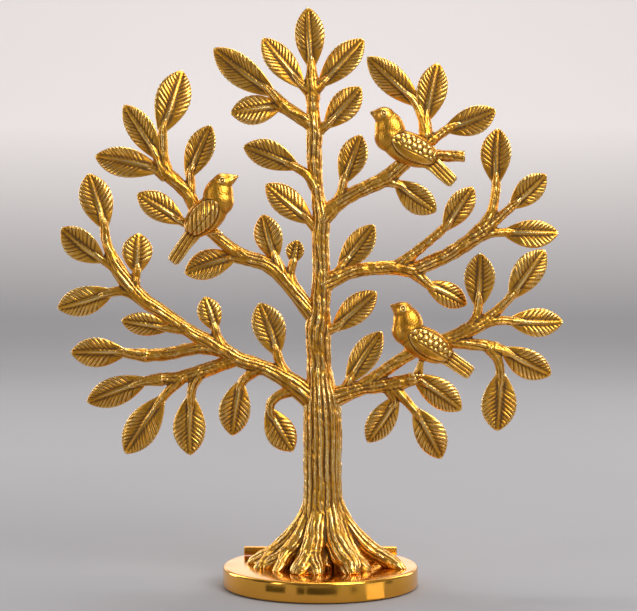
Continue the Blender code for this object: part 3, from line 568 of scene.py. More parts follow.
# ---- leaves ----
def leaf_pattern():
    """A ball of rings from a leaf's base to its tip, and each point's place on it."""
    obj = add_shape("uv_sphere", segments=56, ring_count=66, radius=1)
    points = get_points(obj.data) * MM
    along = np.arccos(np.clip(-points[:, 2], -1, 1)) / math.pi
    pole = np.hypot(points[:, 0], points[:, 1]) < 1e-4
    around = np.arctan2(points[:, 1], points[:, 0])
    return obj, along, np.where(pole, 0.0, np.cos(around)), np.where(pole, 0.0, np.sin(around))


def leaf_outline(t):
    """The blade's half-width, as a share of its widest, at t from base 0 to tip 1."""
    return (t + 0.12) ** 1.3 * np.clip(1 - t, 0, 1) ** 0.85 / 0.3


def leaf_points(pattern, length, width, roll, number, relief):
    """A leaf in its own frame (along, across, front), with its midrib, side veins and rim."""
    _, along, side, face = pattern
    rng = np.random.default_rng(900 + number)
    inner = np.abs(side)
    t = along + 0.27 * inner * 4 * along * (1 - along) * (1 - 0.4 * along)
    count = max(6, round(length / 2.4))
    phase = along * count + np.where(side > 0, 0.45, 0.0) + rng.uniform(0, 1)
    slot_centre = np.abs(phase % 1 - 0.5)
    slit = np.exp(-(slot_centre / 0.16) ** 2)
    patchy = 0.75 + 0.3 * ripple(np.stack([t * length, side * width], 1), 7, number)
    half = width / 2 * leaf_outline(t) * (1 + rng.uniform(-0.07, 0.07) * side)
    half *= 1 - 0.05 * slit * smooth_step(inner, 0.7, 1.0) * smooth_step(along, 0.2, 0.35)
    y = side * half
    field = smooth_step(inner, 0.12, 0.24) * (1 - 0.55 * smooth_step(inner, 0.8, 1.0))
    field *= smooth_step(t, 0.2, 0.34) * (1 - smooth_step(t, 0.9, 0.98))
    uneven = 1 + 0.45 * np.sin(phase.round() * 2.3 + number)
    rib = np.exp(-(y / (1.25 - 0.7 * t)) ** 2) * (1 - 0.6 * t)
    rib_side = np.exp(-((np.abs(y) - 2.0 + 1.0 * t) / 0.45) ** 2) * (1 - 0.5 * t) * smooth_step(t, 0.12, 0.3)
    puff = np.sin(np.pi * np.clip(inner, 0, 1)) * smooth_step(t, 0.1, 0.4)
    front = 1.0 + relief * (0.75 * rib - 0.4 * rib_side + 0.35 * puff - 0.5 * field * slit * uneven * patchy)
    back = 1.0 + relief * (0.45 * rib + 0.3 * puff - 0.3 * slit * field)
    edge = np.sqrt(np.clip(1 - inner ** 8, 0, 1)) * np.clip(np.sin(np.pi * along), 0, 1) ** 0.35
    z = np.where(face >= 0, front, -back) * edge
    z += rng.uniform(-0.02, 0.035) * length * 4 * t * (1 - t)
    z += rng.uniform(-0.7, 0.9) * side ** 2 * leaf_outline(t)
    y = y + rng.uniform(-0.7, 0.7) * 4 * t * (1 - t)
    turn = np.radians(roll + rng.uniform(-9, 9) * (t - 0.2))
    y, z = y * np.cos(turn) + z * np.sin(turn), z * np.cos(turn) - y * np.sin(turn)
    return np.stack([t * length, y, z], axis=1)


def add_leaf(pattern, name, leaf, number, relief):
    """Copies the pattern, shapes it into one leaf and sets it at its place on its twig."""
    base, tip = leaf_ends(name, leaf)
    direction = (tip - base).normalized()
    front = Vector((0, -1, 0))
    front = (front - front.dot(direction) * direction).normalized()
    axes = np.array([direction, front.cross(direction), front])
    obj = pattern[0].copy()
    obj.data = pattern[0].data.copy()
    bpy.context.scene.collection.objects.link(obj)
    shape = leaf_points(pattern, (tip - base).length, leaf.width, leaf.roll, number, relief)
    set_points(obj.data, shape @ axes + np.array(base))
    return obj


# ---- birds ----
def egg(centre, forward, half_sizes):
    """A ball drawn out to three half-sizes: along a direction, in depth, and upwards."""
    obj = add_shape("uv_sphere", segments=40, ring_count=24, radius=1)
    axes = frame_along(forward)
    shape = get_points(obj.data) * MM
    half_along, half_depth, half_up = half_sizes
    set_points(obj.data, (shape[:, [2, 1, 0]] * (half_along, half_depth, half_up)) @ axes + np.array(centre))
    return obj


def frame_along(forward):
    """Rows: forward, depth and up, for a direction in the tree's plane."""
    forward = np.array(forward.normalized())
    depth = np.array((0.0, 1.0, 0.0))
    depth = depth - depth @ forward * forward
    depth /= np.linalg.norm(depth)
    return np.array([forward, depth, np.cross(forward, depth)])


def taper_bar(start, end, sizes_start, sizes_end, cuts=3):
    """A flat bar with rounded corners: a cube drawn out between two points, given (width, thickness)."""
    obj = add_shape("cube", size=1)
    edit_all()
    bpy.ops.mesh.bevel(offset=0.12, segments=3, affect="EDGES")
    bpy.ops.mesh.subdivide(number_cuts=cuts)
    bpy.ops.object.mode_set(mode="OBJECT")
    shape = get_points(obj.data) * MM
    t = shape[:, :1] + 0.5
    axes = frame_along(end - start)
    width = sizes_start[0] + (sizes_end[0] - sizes_start[0]) * t
    thick = sizes_start[1] + (sizes_end[1] - sizes_start[1]) * t
    middle = np.array(start) + t * np.array(end - start)
    set_points(obj.data, middle + shape[:, 1:2] * thick * axes[1] + shape[:, 2:3] * width * axes[2])
    return obj


def carve_feathers(obj, bird, centre, axis_length, depth):
    """Wing coverts in rows, long flight feathers to the tail, tail quills, an eye and the beak's parting
    line.
    """
    points, normals = get_points(obj.data), get_normals(obj.data)
    head, beak, breast, rump, tail_end = (
        np.array((p[0], bird.depth, p[1]))
        for p in (bird.head, bird.beak, bird.breast, bird.rump, bird.tail_end)
    )
    back_side = np.sign(np.cross(rump - breast, head - breast)[1])
    forward = (rump - breast) / np.linalg.norm(rump - breast)
    up = np.cross((0, 1, 0), forward) * back_side * -1
    if (head - breast) @ up < 0:
        up = -up
    local = points - centre
    a, b = local @ forward, local @ up
    lateral = np.abs(points[:, 1] - bird.depth)
    facing = smooth_step(lateral, 1.6, 3.4)
    height = np.zeros(len(points))
    # the wing: a raised leaf-shaped pad from the shoulder to over the rump
    reach = axis_length / 2 + 7
    s = (a + reach * 0.62) / (reach * 1.75)
    wing_middle = 1.6 - 2.2 * s
    wing_half = 6.4 * np.clip(np.sin(np.pi * np.clip(s, 0, 1) ** 0.75), 0, 1) ** 0.7
    off = np.abs(b - wing_middle) / np.maximum(wing_half, 0.3)
    wing = (1 - smooth_step(off, 0.86, 1.0)) * (s > 0) * (s < 1) * facing
    height += 0.4 * wing - 0.3 * np.exp(-((off - 1.06) / 0.10) ** 2) * facing * (s > 0.02) * (s < 0.98)
    low_line = np.exp(-((b - wing_middle + 1.6) / 0.4) ** 2) * smooth_step(s, 0.12, 0.3)
    height -= 0.7 * depth * wing * low_line
    upper = wing * smooth_step(b - wing_middle, -1.3, -0.7)
    if bird.name == "left_bird":
        stripe = np.abs(np.sin((a + 0.9 * b) * math.pi / 3.1))
        height -= depth * wing * (1 - stripe ** 0.5) * 1.3
    else:
        row = (b - wing_middle) / 3.3 + 0.12 * np.sin(a)
        cell = a / 3.1 + 0.5 * (np.floor(row) % 2)
        dome = np.hypot((cell % 1 - 0.35) * 0.9, row % 1 - 0.5)
        height += depth * upper * (0.4 - 1.1 * smooth_step(dome, 0.2, 0.62))
    # the tail's quills
    tail = tail_end - rump
    tail_length = np.linalg.norm(tail)
    tail /= tail_length
    along_tail = (points - rump) @ tail
    tail_up = np.cross((0, 1, 0), tail)
    across_tail = (points - rump) @ tail_up
    on_tail = smooth_step(along_tail, 3.5, 5.5)
    height -= depth * 1.1 * on_tail * (1 - np.abs(np.sin((across_tail + 0.8) * math.pi / 1.9)) ** 0.6)
    # down on the nape and breast
    down = (1 - wing) * (1 - on_tail) * smooth_step(np.linalg.norm(points - beak, axis=1), 9, 13)
    height -= 0.09 * down * (1 - np.abs(np.sin(a * 2.1 + 1.4 * np.sin(b * 1.3))) ** 0.7)
    # the eye, in a ring
    toward = (beak - head) / np.linalg.norm(beak - head)
    eye = head + toward * 1.1 + up * 1.3
    from_eye = np.hypot(points[:, 0] - eye[0], points[:, 2] - eye[2])
    height += facing * (0.34 * np.exp(-((from_eye - 1.35) / 0.32) ** 2)
                        - 0.3 * np.exp(-((from_eye - 0.85) / 0.25) ** 2)
                        + 0.32 * np.exp(-(from_eye / 0.5) ** 2))
    # the beak's parting line
    ahead = (points - head) @ toward
    beak_up = np.cross((0, 1, 0), toward)
    height -= 0.22 * smooth_step(ahead, 4.4, 5.4) * np.exp(-(((points - head) @ beak_up) / 0.25) ** 2)
    height += 0.06 * ripple(points, 4, 31)
    set_points(obj.data, points + normals * height[:, None])


# ---- materials ----
def new_material(name, metallic, roughness):
    made = bpy.data.materials.new(name)
    made.use_nodes = True
    shader = made.node_tree.nodes["Principled BSDF"]
    shader.inputs["Metallic"].default_value = metallic
    shader.inputs["Roughness"].default_value = roughness
    return made, made.node_tree, shader


def add_node(tree, kind, **values):
    """A node with its settings, and its inputs named with spaces as underscores."""
    made = tree.nodes.new(kind)
    for key, value in values.items():
        if hasattr(made, key):
            setattr(made, key, value)
        else:
            made.inputs[key.replace("_", " ")].default_value = value
    return made


def noise(tree, place, scale, detail=3.0, roughness=0.55):
    made = add_node(tree, "ShaderNodeTexNoise", Scale=scale, Detail=detail, Roughness=roughness)
    tree.links.new(place, made.inputs["Vector"])
    return made.outputs["Fac"]


def math_node(tree, operation, first, second):
    made = tree.nodes.new("ShaderNodeMath")
    made.operation = operation
    for socket, value in zip(made.inputs, (first, second)):
        if isinstance(value, (int, float)):
            socket.default_value = value
        else:
            tree.links.new(value, socket)
    return made.outputs[0]


def blend(tree, first, first_share, second, second_share):
    """Two values added in the given shares."""
    return math_node(tree, "ADD", math_node(tree, "MULTIPLY", first, first_share),
                     math_node(tree, "MULTIPLY", second, second_share))


def map_range(tree, value, low, high, to_low=0.0, to_high=1.0):
    made = tree.nodes.new("ShaderNodeMapRange")
    tree.links.new(value, made.inputs["Value"])
    for name, number in (("From Min", low), ("From Max", high), ("To Min", to_low), ("To Max", to_high)):
        made.inputs[name].default_value = number
    return made.outputs["Result"]


def mix_colour(tree, share, first, second):
    made = tree.nodes.new("ShaderNodeMix")
    made.data_type = "RGBA"
    factor = next(s for s in made.inputs if s.name == "Factor" and s.type == "VALUE")
    inputs = [s for s in made.inputs if s.type == "RGBA"]
    tree.links.new(share, factor)
    for socket, value in zip(inputs, (first, second)):
        if isinstance(value, bpy.types.NodeSocket):
            tree.links.new(value, socket)
        else:
            socket.default_value = (*value[:3], 1)
    return next(s for s in made.outputs if s.type == "RGBA")


def effect_group(name, inputs, outputs):
    """An empty shader node group with float inputs and outputs, its object coordinates ready."""
    group = bpy.data.node_groups.new(name, "ShaderNodeTree")
    for label, value in inputs:
        socket = group.interface.new_socket(label, in_out="INPUT", socket_type="NodeSocketFloat")
        socket.default_value = value
    for label in outputs:
        group.interface.new_socket(label, in_out="OUTPUT", socket_type="NodeSocketFloat")
    entry, leave = group.nodes.new("NodeGroupInput"), group.nodes.new("NodeGroupOutput")
    place = group.nodes.new("ShaderNodeTexCoord").outputs["Object"]
    return group, entry, leave, place


def antique_wear():
    """Dark patina where the skin lies low, polish where it stands high, mottling and casting grain."""
    found = bpy.data.node_groups.get("antique_wear")
    if found:
        return found
    inputs = [("Relief", 0.0), ("Patina reach", 0.0), ("Mottle", 0.5)]
    tree, entry, leave, place = effect_group("antique_wear", inputs, ["Patina", "Polish", "Warmth", "Height"])
    link = tree.links.new
    cloud = noise(tree, place, 260.0, 3.0)
    grain = noise(tree, place, 1500.0, 3.0, 0.7)
    broad = noise(tree, place, 38.0, 2.0)
    uneven = math_node(tree, "MULTIPLY", math_node(tree, "SUBTRACT", cloud, 0.5), entry.outputs["Mottle"])
    low = math_node(tree, "ADD", math_node(tree, "SUBTRACT", entry.outputs["Patina reach"],
                                           entry.outputs["Relief"]), uneven)
    link(map_range(tree, low, 0.05, 0.85), leave.inputs["Patina"])
    high = math_node(tree, "ADD", entry.outputs["Relief"], uneven)
    link(map_range(tree, high, 0.0, 0.8), leave.inputs["Polish"])
    link(map_range(tree, blend(tree, cloud, 0.5, broad, 0.5), 0.38, 0.62), leave.inputs["Warmth"])
    link(blend(tree, grain, 0.6, cloud, 0.4), leave.inputs["Height"])
    return tree


def hand_marks():
    """Fine rubbing marks and soft smudges on polished metal."""
    found = bpy.data.node_groups.get("hand_marks")
    if found:
        return found
    tree, entry, leave, place = effect_group("hand_marks", [("Scale", 1.0)], ["Smudge", "Marks"])
    smudge = noise(tree, place, 55.0, 4.0, 0.6)
    stretch = add_node(tree, "ShaderNodeMapping")
    stretch.inputs["Scale"].default_value = (60.0, 900.0, 900.0)
    tree.links.new(place, stretch.inputs["Vector"])
    marks = noise(tree, stretch.outputs["Vector"], 2.0, 3.0, 0.7)
    tree.links.new(map_range(tree, smudge, 0.42, 0.72), leave.inputs["Smudge"])
    tree.links.new(math_node(tree, "MULTIPLY", marks, entry.outputs["Scale"]), leave.inputs["Marks"])
    return tree


def place_group(tree, group, **values):
    made = tree.nodes.new("ShaderNodeGroup")
    made.node_tree = group
    for key, value in values.items():
        socket = made.inputs[key.replace("_", " ")]
        if isinstance(value, bpy.types.NodeSocket):
            tree.links.new(value, socket)
        else:
            socket.default_value = value
    return made.outputs


def bump(tree, shader, height, strength, distance):
    made = add_node(tree, "ShaderNodeBump", Strength=strength, Distance=distance)
    tree.links.new(height, made.inputs["Height"])
    tree.links.new(made.outputs["Normal"], shader.inputs["Normal"])


def antique_gold():
    """Gold-finished casting: rubbed bright on its ridges, dark brown patina in its recesses."""
    found = bpy.data.materials.get("antique_gold")
    if found:
        return found
    colours = bpy.context.scene.tree_finish
    made, tree, shader = new_material("antique_gold", 1.0, 0.3)
    relief = add_node(tree, "ShaderNodeAttribute", attribute_name="relief").outputs["Fac"]
    wear = place_group(tree, antique_wear(), Relief=relief, Patina_reach=colours.patina_reach, Mottle=0.55)
    gold = mix_colour(tree, wear["Warmth"], colours.gold, colours.warm_gold)
    gold = mix_colour(tree, wear["Polish"], gold, colours.bright_gold)
    tree.links.new(mix_colour(tree, wear["Patina"], gold, colours.patina), shader.inputs["Base Color"])
    rough = map_range(tree, wear["Patina"], 0.0, 1.0, colours.roughness, 0.62)
    rough = math_node(tree, "SUBTRACT", rough, math_node(tree, "MULTIPLY", wear["Polish"], 0.06))
    tree.links.new(rough, shader.inputs["Roughness"])
    tree.links.new(map_range(tree, wear["Patina"], 0.3, 1.0, 1.0, 0.55), shader.inputs["Metallic"])
    bump(tree, shader, wear["Height"], 0.4, 0.00035)
    return made


def polished_brass(name, roughness, marks):
    """Polished brass with faint rubbing marks and smudges."""
    found = bpy.data.materials.get(name)
    if found:
        return found
    colours = bpy.context.scene.tree_finish
    made, tree, shader = new_material(name, 1.0, roughness)
    hand = place_group(tree, hand_marks(), Scale=1.0)
    tree.links.new(mix_colour(tree, hand["Smudge"], colours.base_gold, colours.gold),
                   shader.inputs["Base Color"])
    tree.links.new(map_range(tree, hand["Smudge"], 0.0, 1.0, roughness, roughness + 0.1),
                   shader.inputs["Roughness"])
    bump(tree, shader, hand["Marks"], marks, 0.00008)
    return made


def felt_cloth():
    found = bpy.data.materials.get("green_felt")
    if found:
        return found
    made, tree, shader = new_material("green_felt", 0.0, 0.95)
    place = tree.nodes.new("ShaderNodeTexCoord").outputs["Object"]
    fibres = noise(tree, place, 2600.0, 4.0, 0.75)
    tufts = noise(tree, place, 240.0, 3.0)
    shade = map_range(tree, blend(tree, fibres, 0.6, tufts, 0.4), 0.35, 0.65)
    tree.links.new(mix_colour(tree, shade, (0.012, 0.03, 0.018), (0.05, 0.10, 0.06)),
                   shader.inputs["Base Color"])
    shader.inputs["Sheen Weight"].default_value = 0.4
    bump(tree, shader, fibres, 0.7, 0.0004)
    return made


def screw_steel():
    found = bpy.data.materials.get("plated_screw_steel")
    if found:
        return found
    made, tree, shader = new_material("plated_screw_steel", 1.0, 0.34)
    hand = place_group(tree, hand_marks(), Scale=1.0)
    tree.links.new(mix_colour(tree, hand["Smudge"], (0.62, 0.61, 0.58), (0.42, 0.41, 0.39)),
                   shader.inputs["Base Color"])
    tree.links.new(map_range(tree, hand["Smudge"], 0.0, 1.0, 0.28, 0.45), shader.inputs["Roughness"])
    bump(tree, shader, hand["Marks"], 0.3, 0.0001)
    return made


def finish_piece(obj, name, nodes, material, sharp=None):
    """Names a piece, gives it its finish, and puts it on the frame in place of its CAD nodes."""
    select_only(obj)
    if sharp is None:
        bpy.ops.object.shade_smooth()
    else:
        bpy.ops.object.shade_smooth_by_angle(angle=math.radians(sharp))
    obj.name = name
    obj.data.name = name
    obj.data.materials.clear()
    obj.data.materials.append(material)
    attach(obj, "root")
    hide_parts(*nodes)
    return obj


# ---- what a user can change ----
class TreeCasting(bpy.types.PropertyGroup):
    """Sizes of the castings' surface detail"""

    skin: FloatProperty(name="Skin grid", description="Grid size that the castings are modelled at, in mm",
                        default=0.4, min=0.2, max=2.0)
    bark_depth: FloatProperty(name="Bark depth", description="How deep the bark is cut, as a factor",
                              default=0.24, min=0.0, max=1.0)
    leaf_relief: FloatProperty(name="Leaf relief", default=1.0, min=0.0, max=2.0,
                               description="How far the ribs and veins stand out, as a factor")
    feather_depth: FloatProperty(name="Feather depth", description="How deep the feathers are cut, in mm",
                                 default=0.42, min=0.0, max=1.5)


class TreeFinish(bpy.types.PropertyGroup):
    """Colours and polish of the tree's metal"""

    gold: FloatVectorProperty(name="Gold", description="The castings' main colour", subtype="COLOR",
                              default=(0.83, 0.42, 0.05), min=0, max=1)
    warm_gold: FloatVectorProperty(name="Warm gold", description="The redder tone that mottles it",
                                   subtype="COLOR", default=(0.66, 0.27, 0.018), min=0, max=1)
    bright_gold: FloatVectorProperty(name="Bright gold", description="The colour of rubbed ridges",
                                     subtype="COLOR", default=(1.0, 0.70, 0.27), min=0, max=1)
    base_gold: FloatVectorProperty(name="Base gold", description="The polished base's colour",
                                   subtype="COLOR", default=(0.93, 0.46, 0.07), min=0, max=1)
    patina: FloatVectorProperty(name="Patina", description="The dark colour in recesses", subtype="COLOR",
                                default=(0.13, 0.058, 0.010), min=0, max=1)
    patina_reach: FloatProperty(name="Patina reach", default=0.0, min=-1.0, max=1.0,
                                description="How far the patina spreads out of the recesses")
    roughness: FloatProperty(name="Roughness", default=0.3, min=0.02, max=1.0, subtype="FACTOR",
                             description="Roughness of the gold between ridges and recesses")


class TreeStage(bpy.types.PropertyGroup):
    """The studio around the tree"""

    floor: FloatVectorProperty(name="Floor", description="The floor's colour", subtype="COLOR",
                               default=(0.31, 0.30, 0.31), min=0, max=1)
    wall: FloatVectorProperty(name="Wall", description="The backdrop's colour above the floor",
                              subtype="COLOR", default=(0.86, 0.81, 0.80), min=0, max=1)
    key_power: FloatProperty(name="Key light", description="Power of the main soft light, in watts",
                             default=12.5, min=0.0)
    distance: FloatProperty(name="Camera distance", description="From the camera to the tree", unit="LENGTH",
                            default=1.1, min=0.3)


# ---- operators: one for each piece or group of like pieces ----
def model_casting(name, pattern):
    """A casting's wood melted into one skin with carved bark, with its leaves joined on."""
    sizes = bpy.context.scene.tree_casting
    routes = casting_routes(name)
    obj = tubes(name + "_wood", routes)
    thick = name in ("trunk_and_roots", "leader")
    melt(obj, sizes.skin * (1.1 if thick else 1.0), 3)
    carve_bark(obj, routes, sizes.bark_depth)
    if name == "trunk_and_roots":
        stand_on_base(obj)
    if name in CASTING and CASTING[name].leaves:
        first = LEAF_NUMBER[name]
        leaves = [add_leaf(pattern, name, leaf, first + i, sizes.leaf_relief)
                  for i, leaf in enumerate(CASTING[name].leaves)]
        join([obj, *leaves])
    mark_relief(obj)
    return finish_piece(obj, name + "_casting", [name], antique_gold())


def stand_on_base(obj):
    """Cuts the roots off flat on the base."""
    select_only(obj)
    edit_all()
    bpy.ops.mesh.bisect(plane_co=(0, 0, ROOT_CUT * MM), plane_no=(0, 0, 1), use_fill=True,
                        clear_inner=True, threshold=1e-6)
    bpy.ops.object.mode_set(mode="OBJECT")


class TREE_OT_model_trunk(bpy.types.Operator):
    """Model the trunk with its spreading roots, and the leader that stands on it"""

    bl_idname = "tree.model_trunk"
    bl_label = "Trunk and leader"

    def execute(self, context):
        for name in ("trunk_and_roots", "leader"):
            model_casting(name, None)
        return {"FINISHED"}


class TREE_OT_model_limbs(bpy.types.Operator):
    """Model the limbs, sprays and twigs with their veined leaves"""

    bl_idname = "tree.model_limbs"
    bl_label = "Limbs and leaves"

    def execute(self, context):
        pattern = leaf_pattern()
        for casting in CASTINGS:
            model_casting(casting.name, pattern)
        bpy.data.objects.remove(pattern[0])
        return {"FINISHED"}


class TREE_OT_model_birds(bpy.types.Operator):
    """Model the three birds with their wings, tails and eyes"""

    bl_idname = "tree.model_birds"
    bl_label = "Birds"

    def execute(self, context):
        for bird in BIRDS:
            self.model(context, bird)
        return {"FINISHED"}

    def model(self, context, bird):
        def at(point, shift=0.0):
            return Vector((point[0], bird.depth + shift, point[1]))

        beak, head, breast, rump = at(bird.beak), at(bird.head), at(bird.breast), at(bird.rump)
        centre, length = (breast + rump) / 2, (rump - breast).length
        foot = min((p for wood in CASTING[bird.limb].wood for p in wood_points(bird.limb, wood)),
                   key=lambda p: math.dist((p[0], p[2]), bird.foot))
        foot = Vector((bird.foot[0], foot[1], bird.foot[1]))
        bill, onward = (beak - head).normalized(), (rump - breast).normalized()
        parts = [
            egg(centre, rump - breast, (length / 2 + 6, 6.5, 8.6)),
            egg(breast.lerp(head, 0.2) - 0.6 * onward, onward, (8.0, 6.0, 8.0)),
            egg(head.lerp(breast, 0.5) + onward, head - breast, (10, 5.6, 7.8)),
            egg(head, bill, (5.7, 4.6, 5.0)),
            taper_bar(rump.lerp(at(bird.tail_root), -0.9), at(bird.tail_end, 1), (9.5, 6.0),
                      (bird.tail_width, 2.8), 5),
        ]
        join(parts)
        bars = [np.array([(*head, 3.9), (*head.lerp(beak, 0.5), 3.1), (*head.lerp(beak, 0.78), 1.7),
                          (*beak, 0.4)])]
        for swing in (-1.6, 1.6):
            bars.append(np.array([(foot.x + swing, foot.y, foot.z, 1.3), (*foot.lerp(centre, 0.5), 1.5),
                                  (*centre, 1.6)]))
            for toe in (-1, 0, 1):
                bars.append(np.array([(foot.x + swing, foot.y, foot.z, 1.1),
                                      (foot.x + swing + toe * 1.4, foot.y - 3.4, foot.z + 0.6, 0.75)]))
        obj = join([parts[0], tubes("bird_bars", [smooth_route(bar, 0.8) for bar in bars])])
        melt(obj, context.scene.tree_casting.skin * 0.85, 9)
        carve_feathers(obj, bird, np.array(centre), length, context.scene.tree_casting.feather_depth)
        mark_relief(obj, 10, 0.2)
        finish_piece(obj, bird.name + "_casting", [bird.name], antique_gold())


class TREE_OT_model_base(bpy.types.Operator):
    """Model the turned and polished base disc, with softened edges and a recess underneath"""

    bl_idname = "tree.model_base"
    bl_label = "Base disc"

    def execute(self, context):
        obj, low, high = cylinder_in_box("base_disc", 160)
        edit_all()
        bpy.ops.mesh.select_mode(type="EDGE")
        for level, width, segments in ((high.z, 1.5, 6), (low.z, 0.8, 4)):
            pick_edges(obj, lambda p, level=level: abs(p.z - level) < 1e-5)
            bevel(width, segments)
        pick_faces(obj, lambda f: f.normal.z < -0.99)
        inset(2.6)
        bpy.ops.mesh.extrude_region_move(TRANSFORM_OT_translate={"value": (0, 0, 1.3 * MM)})
        pick_faces(obj, lambda f: f.normal.z > 0.99 and f.calc_center_median().z > high.z - 1e-5)
        inset(12, times=3)
        bpy.ops.object.mode_set(mode="OBJECT")
        finish_piece(obj, "base_disc_turned", ["base_disc"],
                     polished_brass("polished_base_brass", 0.10, 0.25), 35)
        return {"FINISHED"}


def pick_edges(obj, wanted):
    """Selects just the edges whose both ends pass the test."""
    bpy.ops.mesh.select_all(action="DESELECT")
    bpy.ops.object.mode_set(mode="OBJECT")
    points = obj.data.vertices
    for edge in obj.data.edges:
        edge.select = all(wanted(points[i].co) for i in edge.vertices)
    bpy.ops.object.mode_set(mode="EDIT")


def pick_faces(obj, wanted):
    """Selects just the faces that pass the test, which gets each as a BMesh face."""
    bpy.ops.mesh.select_all(action="DESELECT")
    work = bmesh.from_edit_mesh(obj.data)
    work.faces.ensure_lookup_table()
    for face in work.faces:
        face.select_set(wanted(face))
    bmesh.update_edit_mesh(obj.data)


class TREE_OT_model_felt(bpy.types.Operator):
    """Model the felt pad under the base"""

    bl_idname = "tree.model_felt"
    bl_label = "Felt pad"

    def execute(self, context):
        obj, low, high = cylinder_in_box("felt_pad", 120)
        edit_all()
        bpy.ops.mesh.select_mode(type="EDGE")
        for level in (low.z, high.z):
            pick_edges(obj, lambda p, level=level: abs(p.z - level) < 1e-5)
            bevel(0.45, 3)
        pick_faces(obj, lambda f: abs(f.normal.z) > 0.99)
        inset(11, times=3)
        bpy.ops.object.mode_set(mode="OBJECT")
        finish_piece(obj, "felt_pad_cut", ["felt_pad"], felt_cloth(), 50)
        return {"FINISHED"}


class TREE_OT_model_bar(bpy.types.Operator):
    """Model the low straight bar at the rear of the base"""

    bl_idname = "tree.model_bar"
    bl_label = "Rear bar"

    def execute(self, context):
        low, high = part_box("rear_bar")
        obj = add_shape("cube", (low + high) / 2, size=1, scale=high - low)
        bpy.ops.object.transform_apply(location=True, scale=True)
        edit_all()
        bevel(0.5, 3)
        pick_faces(obj, lambda f: f.normal.z > 0.99)
        inset(0.5)
        bpy.ops.object.mode_set(mode="OBJECT")
        finish_piece(obj, "rear_bar_filed", ["rear_bar"], polished_brass("filed_bar_brass", 0.26, 0.5),
                     35)
        return {"FINISHED"}


class TREE_OT_finish_fixings(bpy.types.Operator):
    """Finish the screws, washer and dowel, which keep their CAD shapes"""

    bl_idname = "tree.finish_fixings"
    bl_label = "Fixings"

    def execute(self, context):
        for name in ("trunk_screw", "trunk_washer", "trunk_dowel", "bar_screw_left", "bar_screw_right"):
            node = frame["nodes"][name]
            node.data.materials.clear()
            node.data.materials.append(screw_steel())
        return {"FINISHED"}


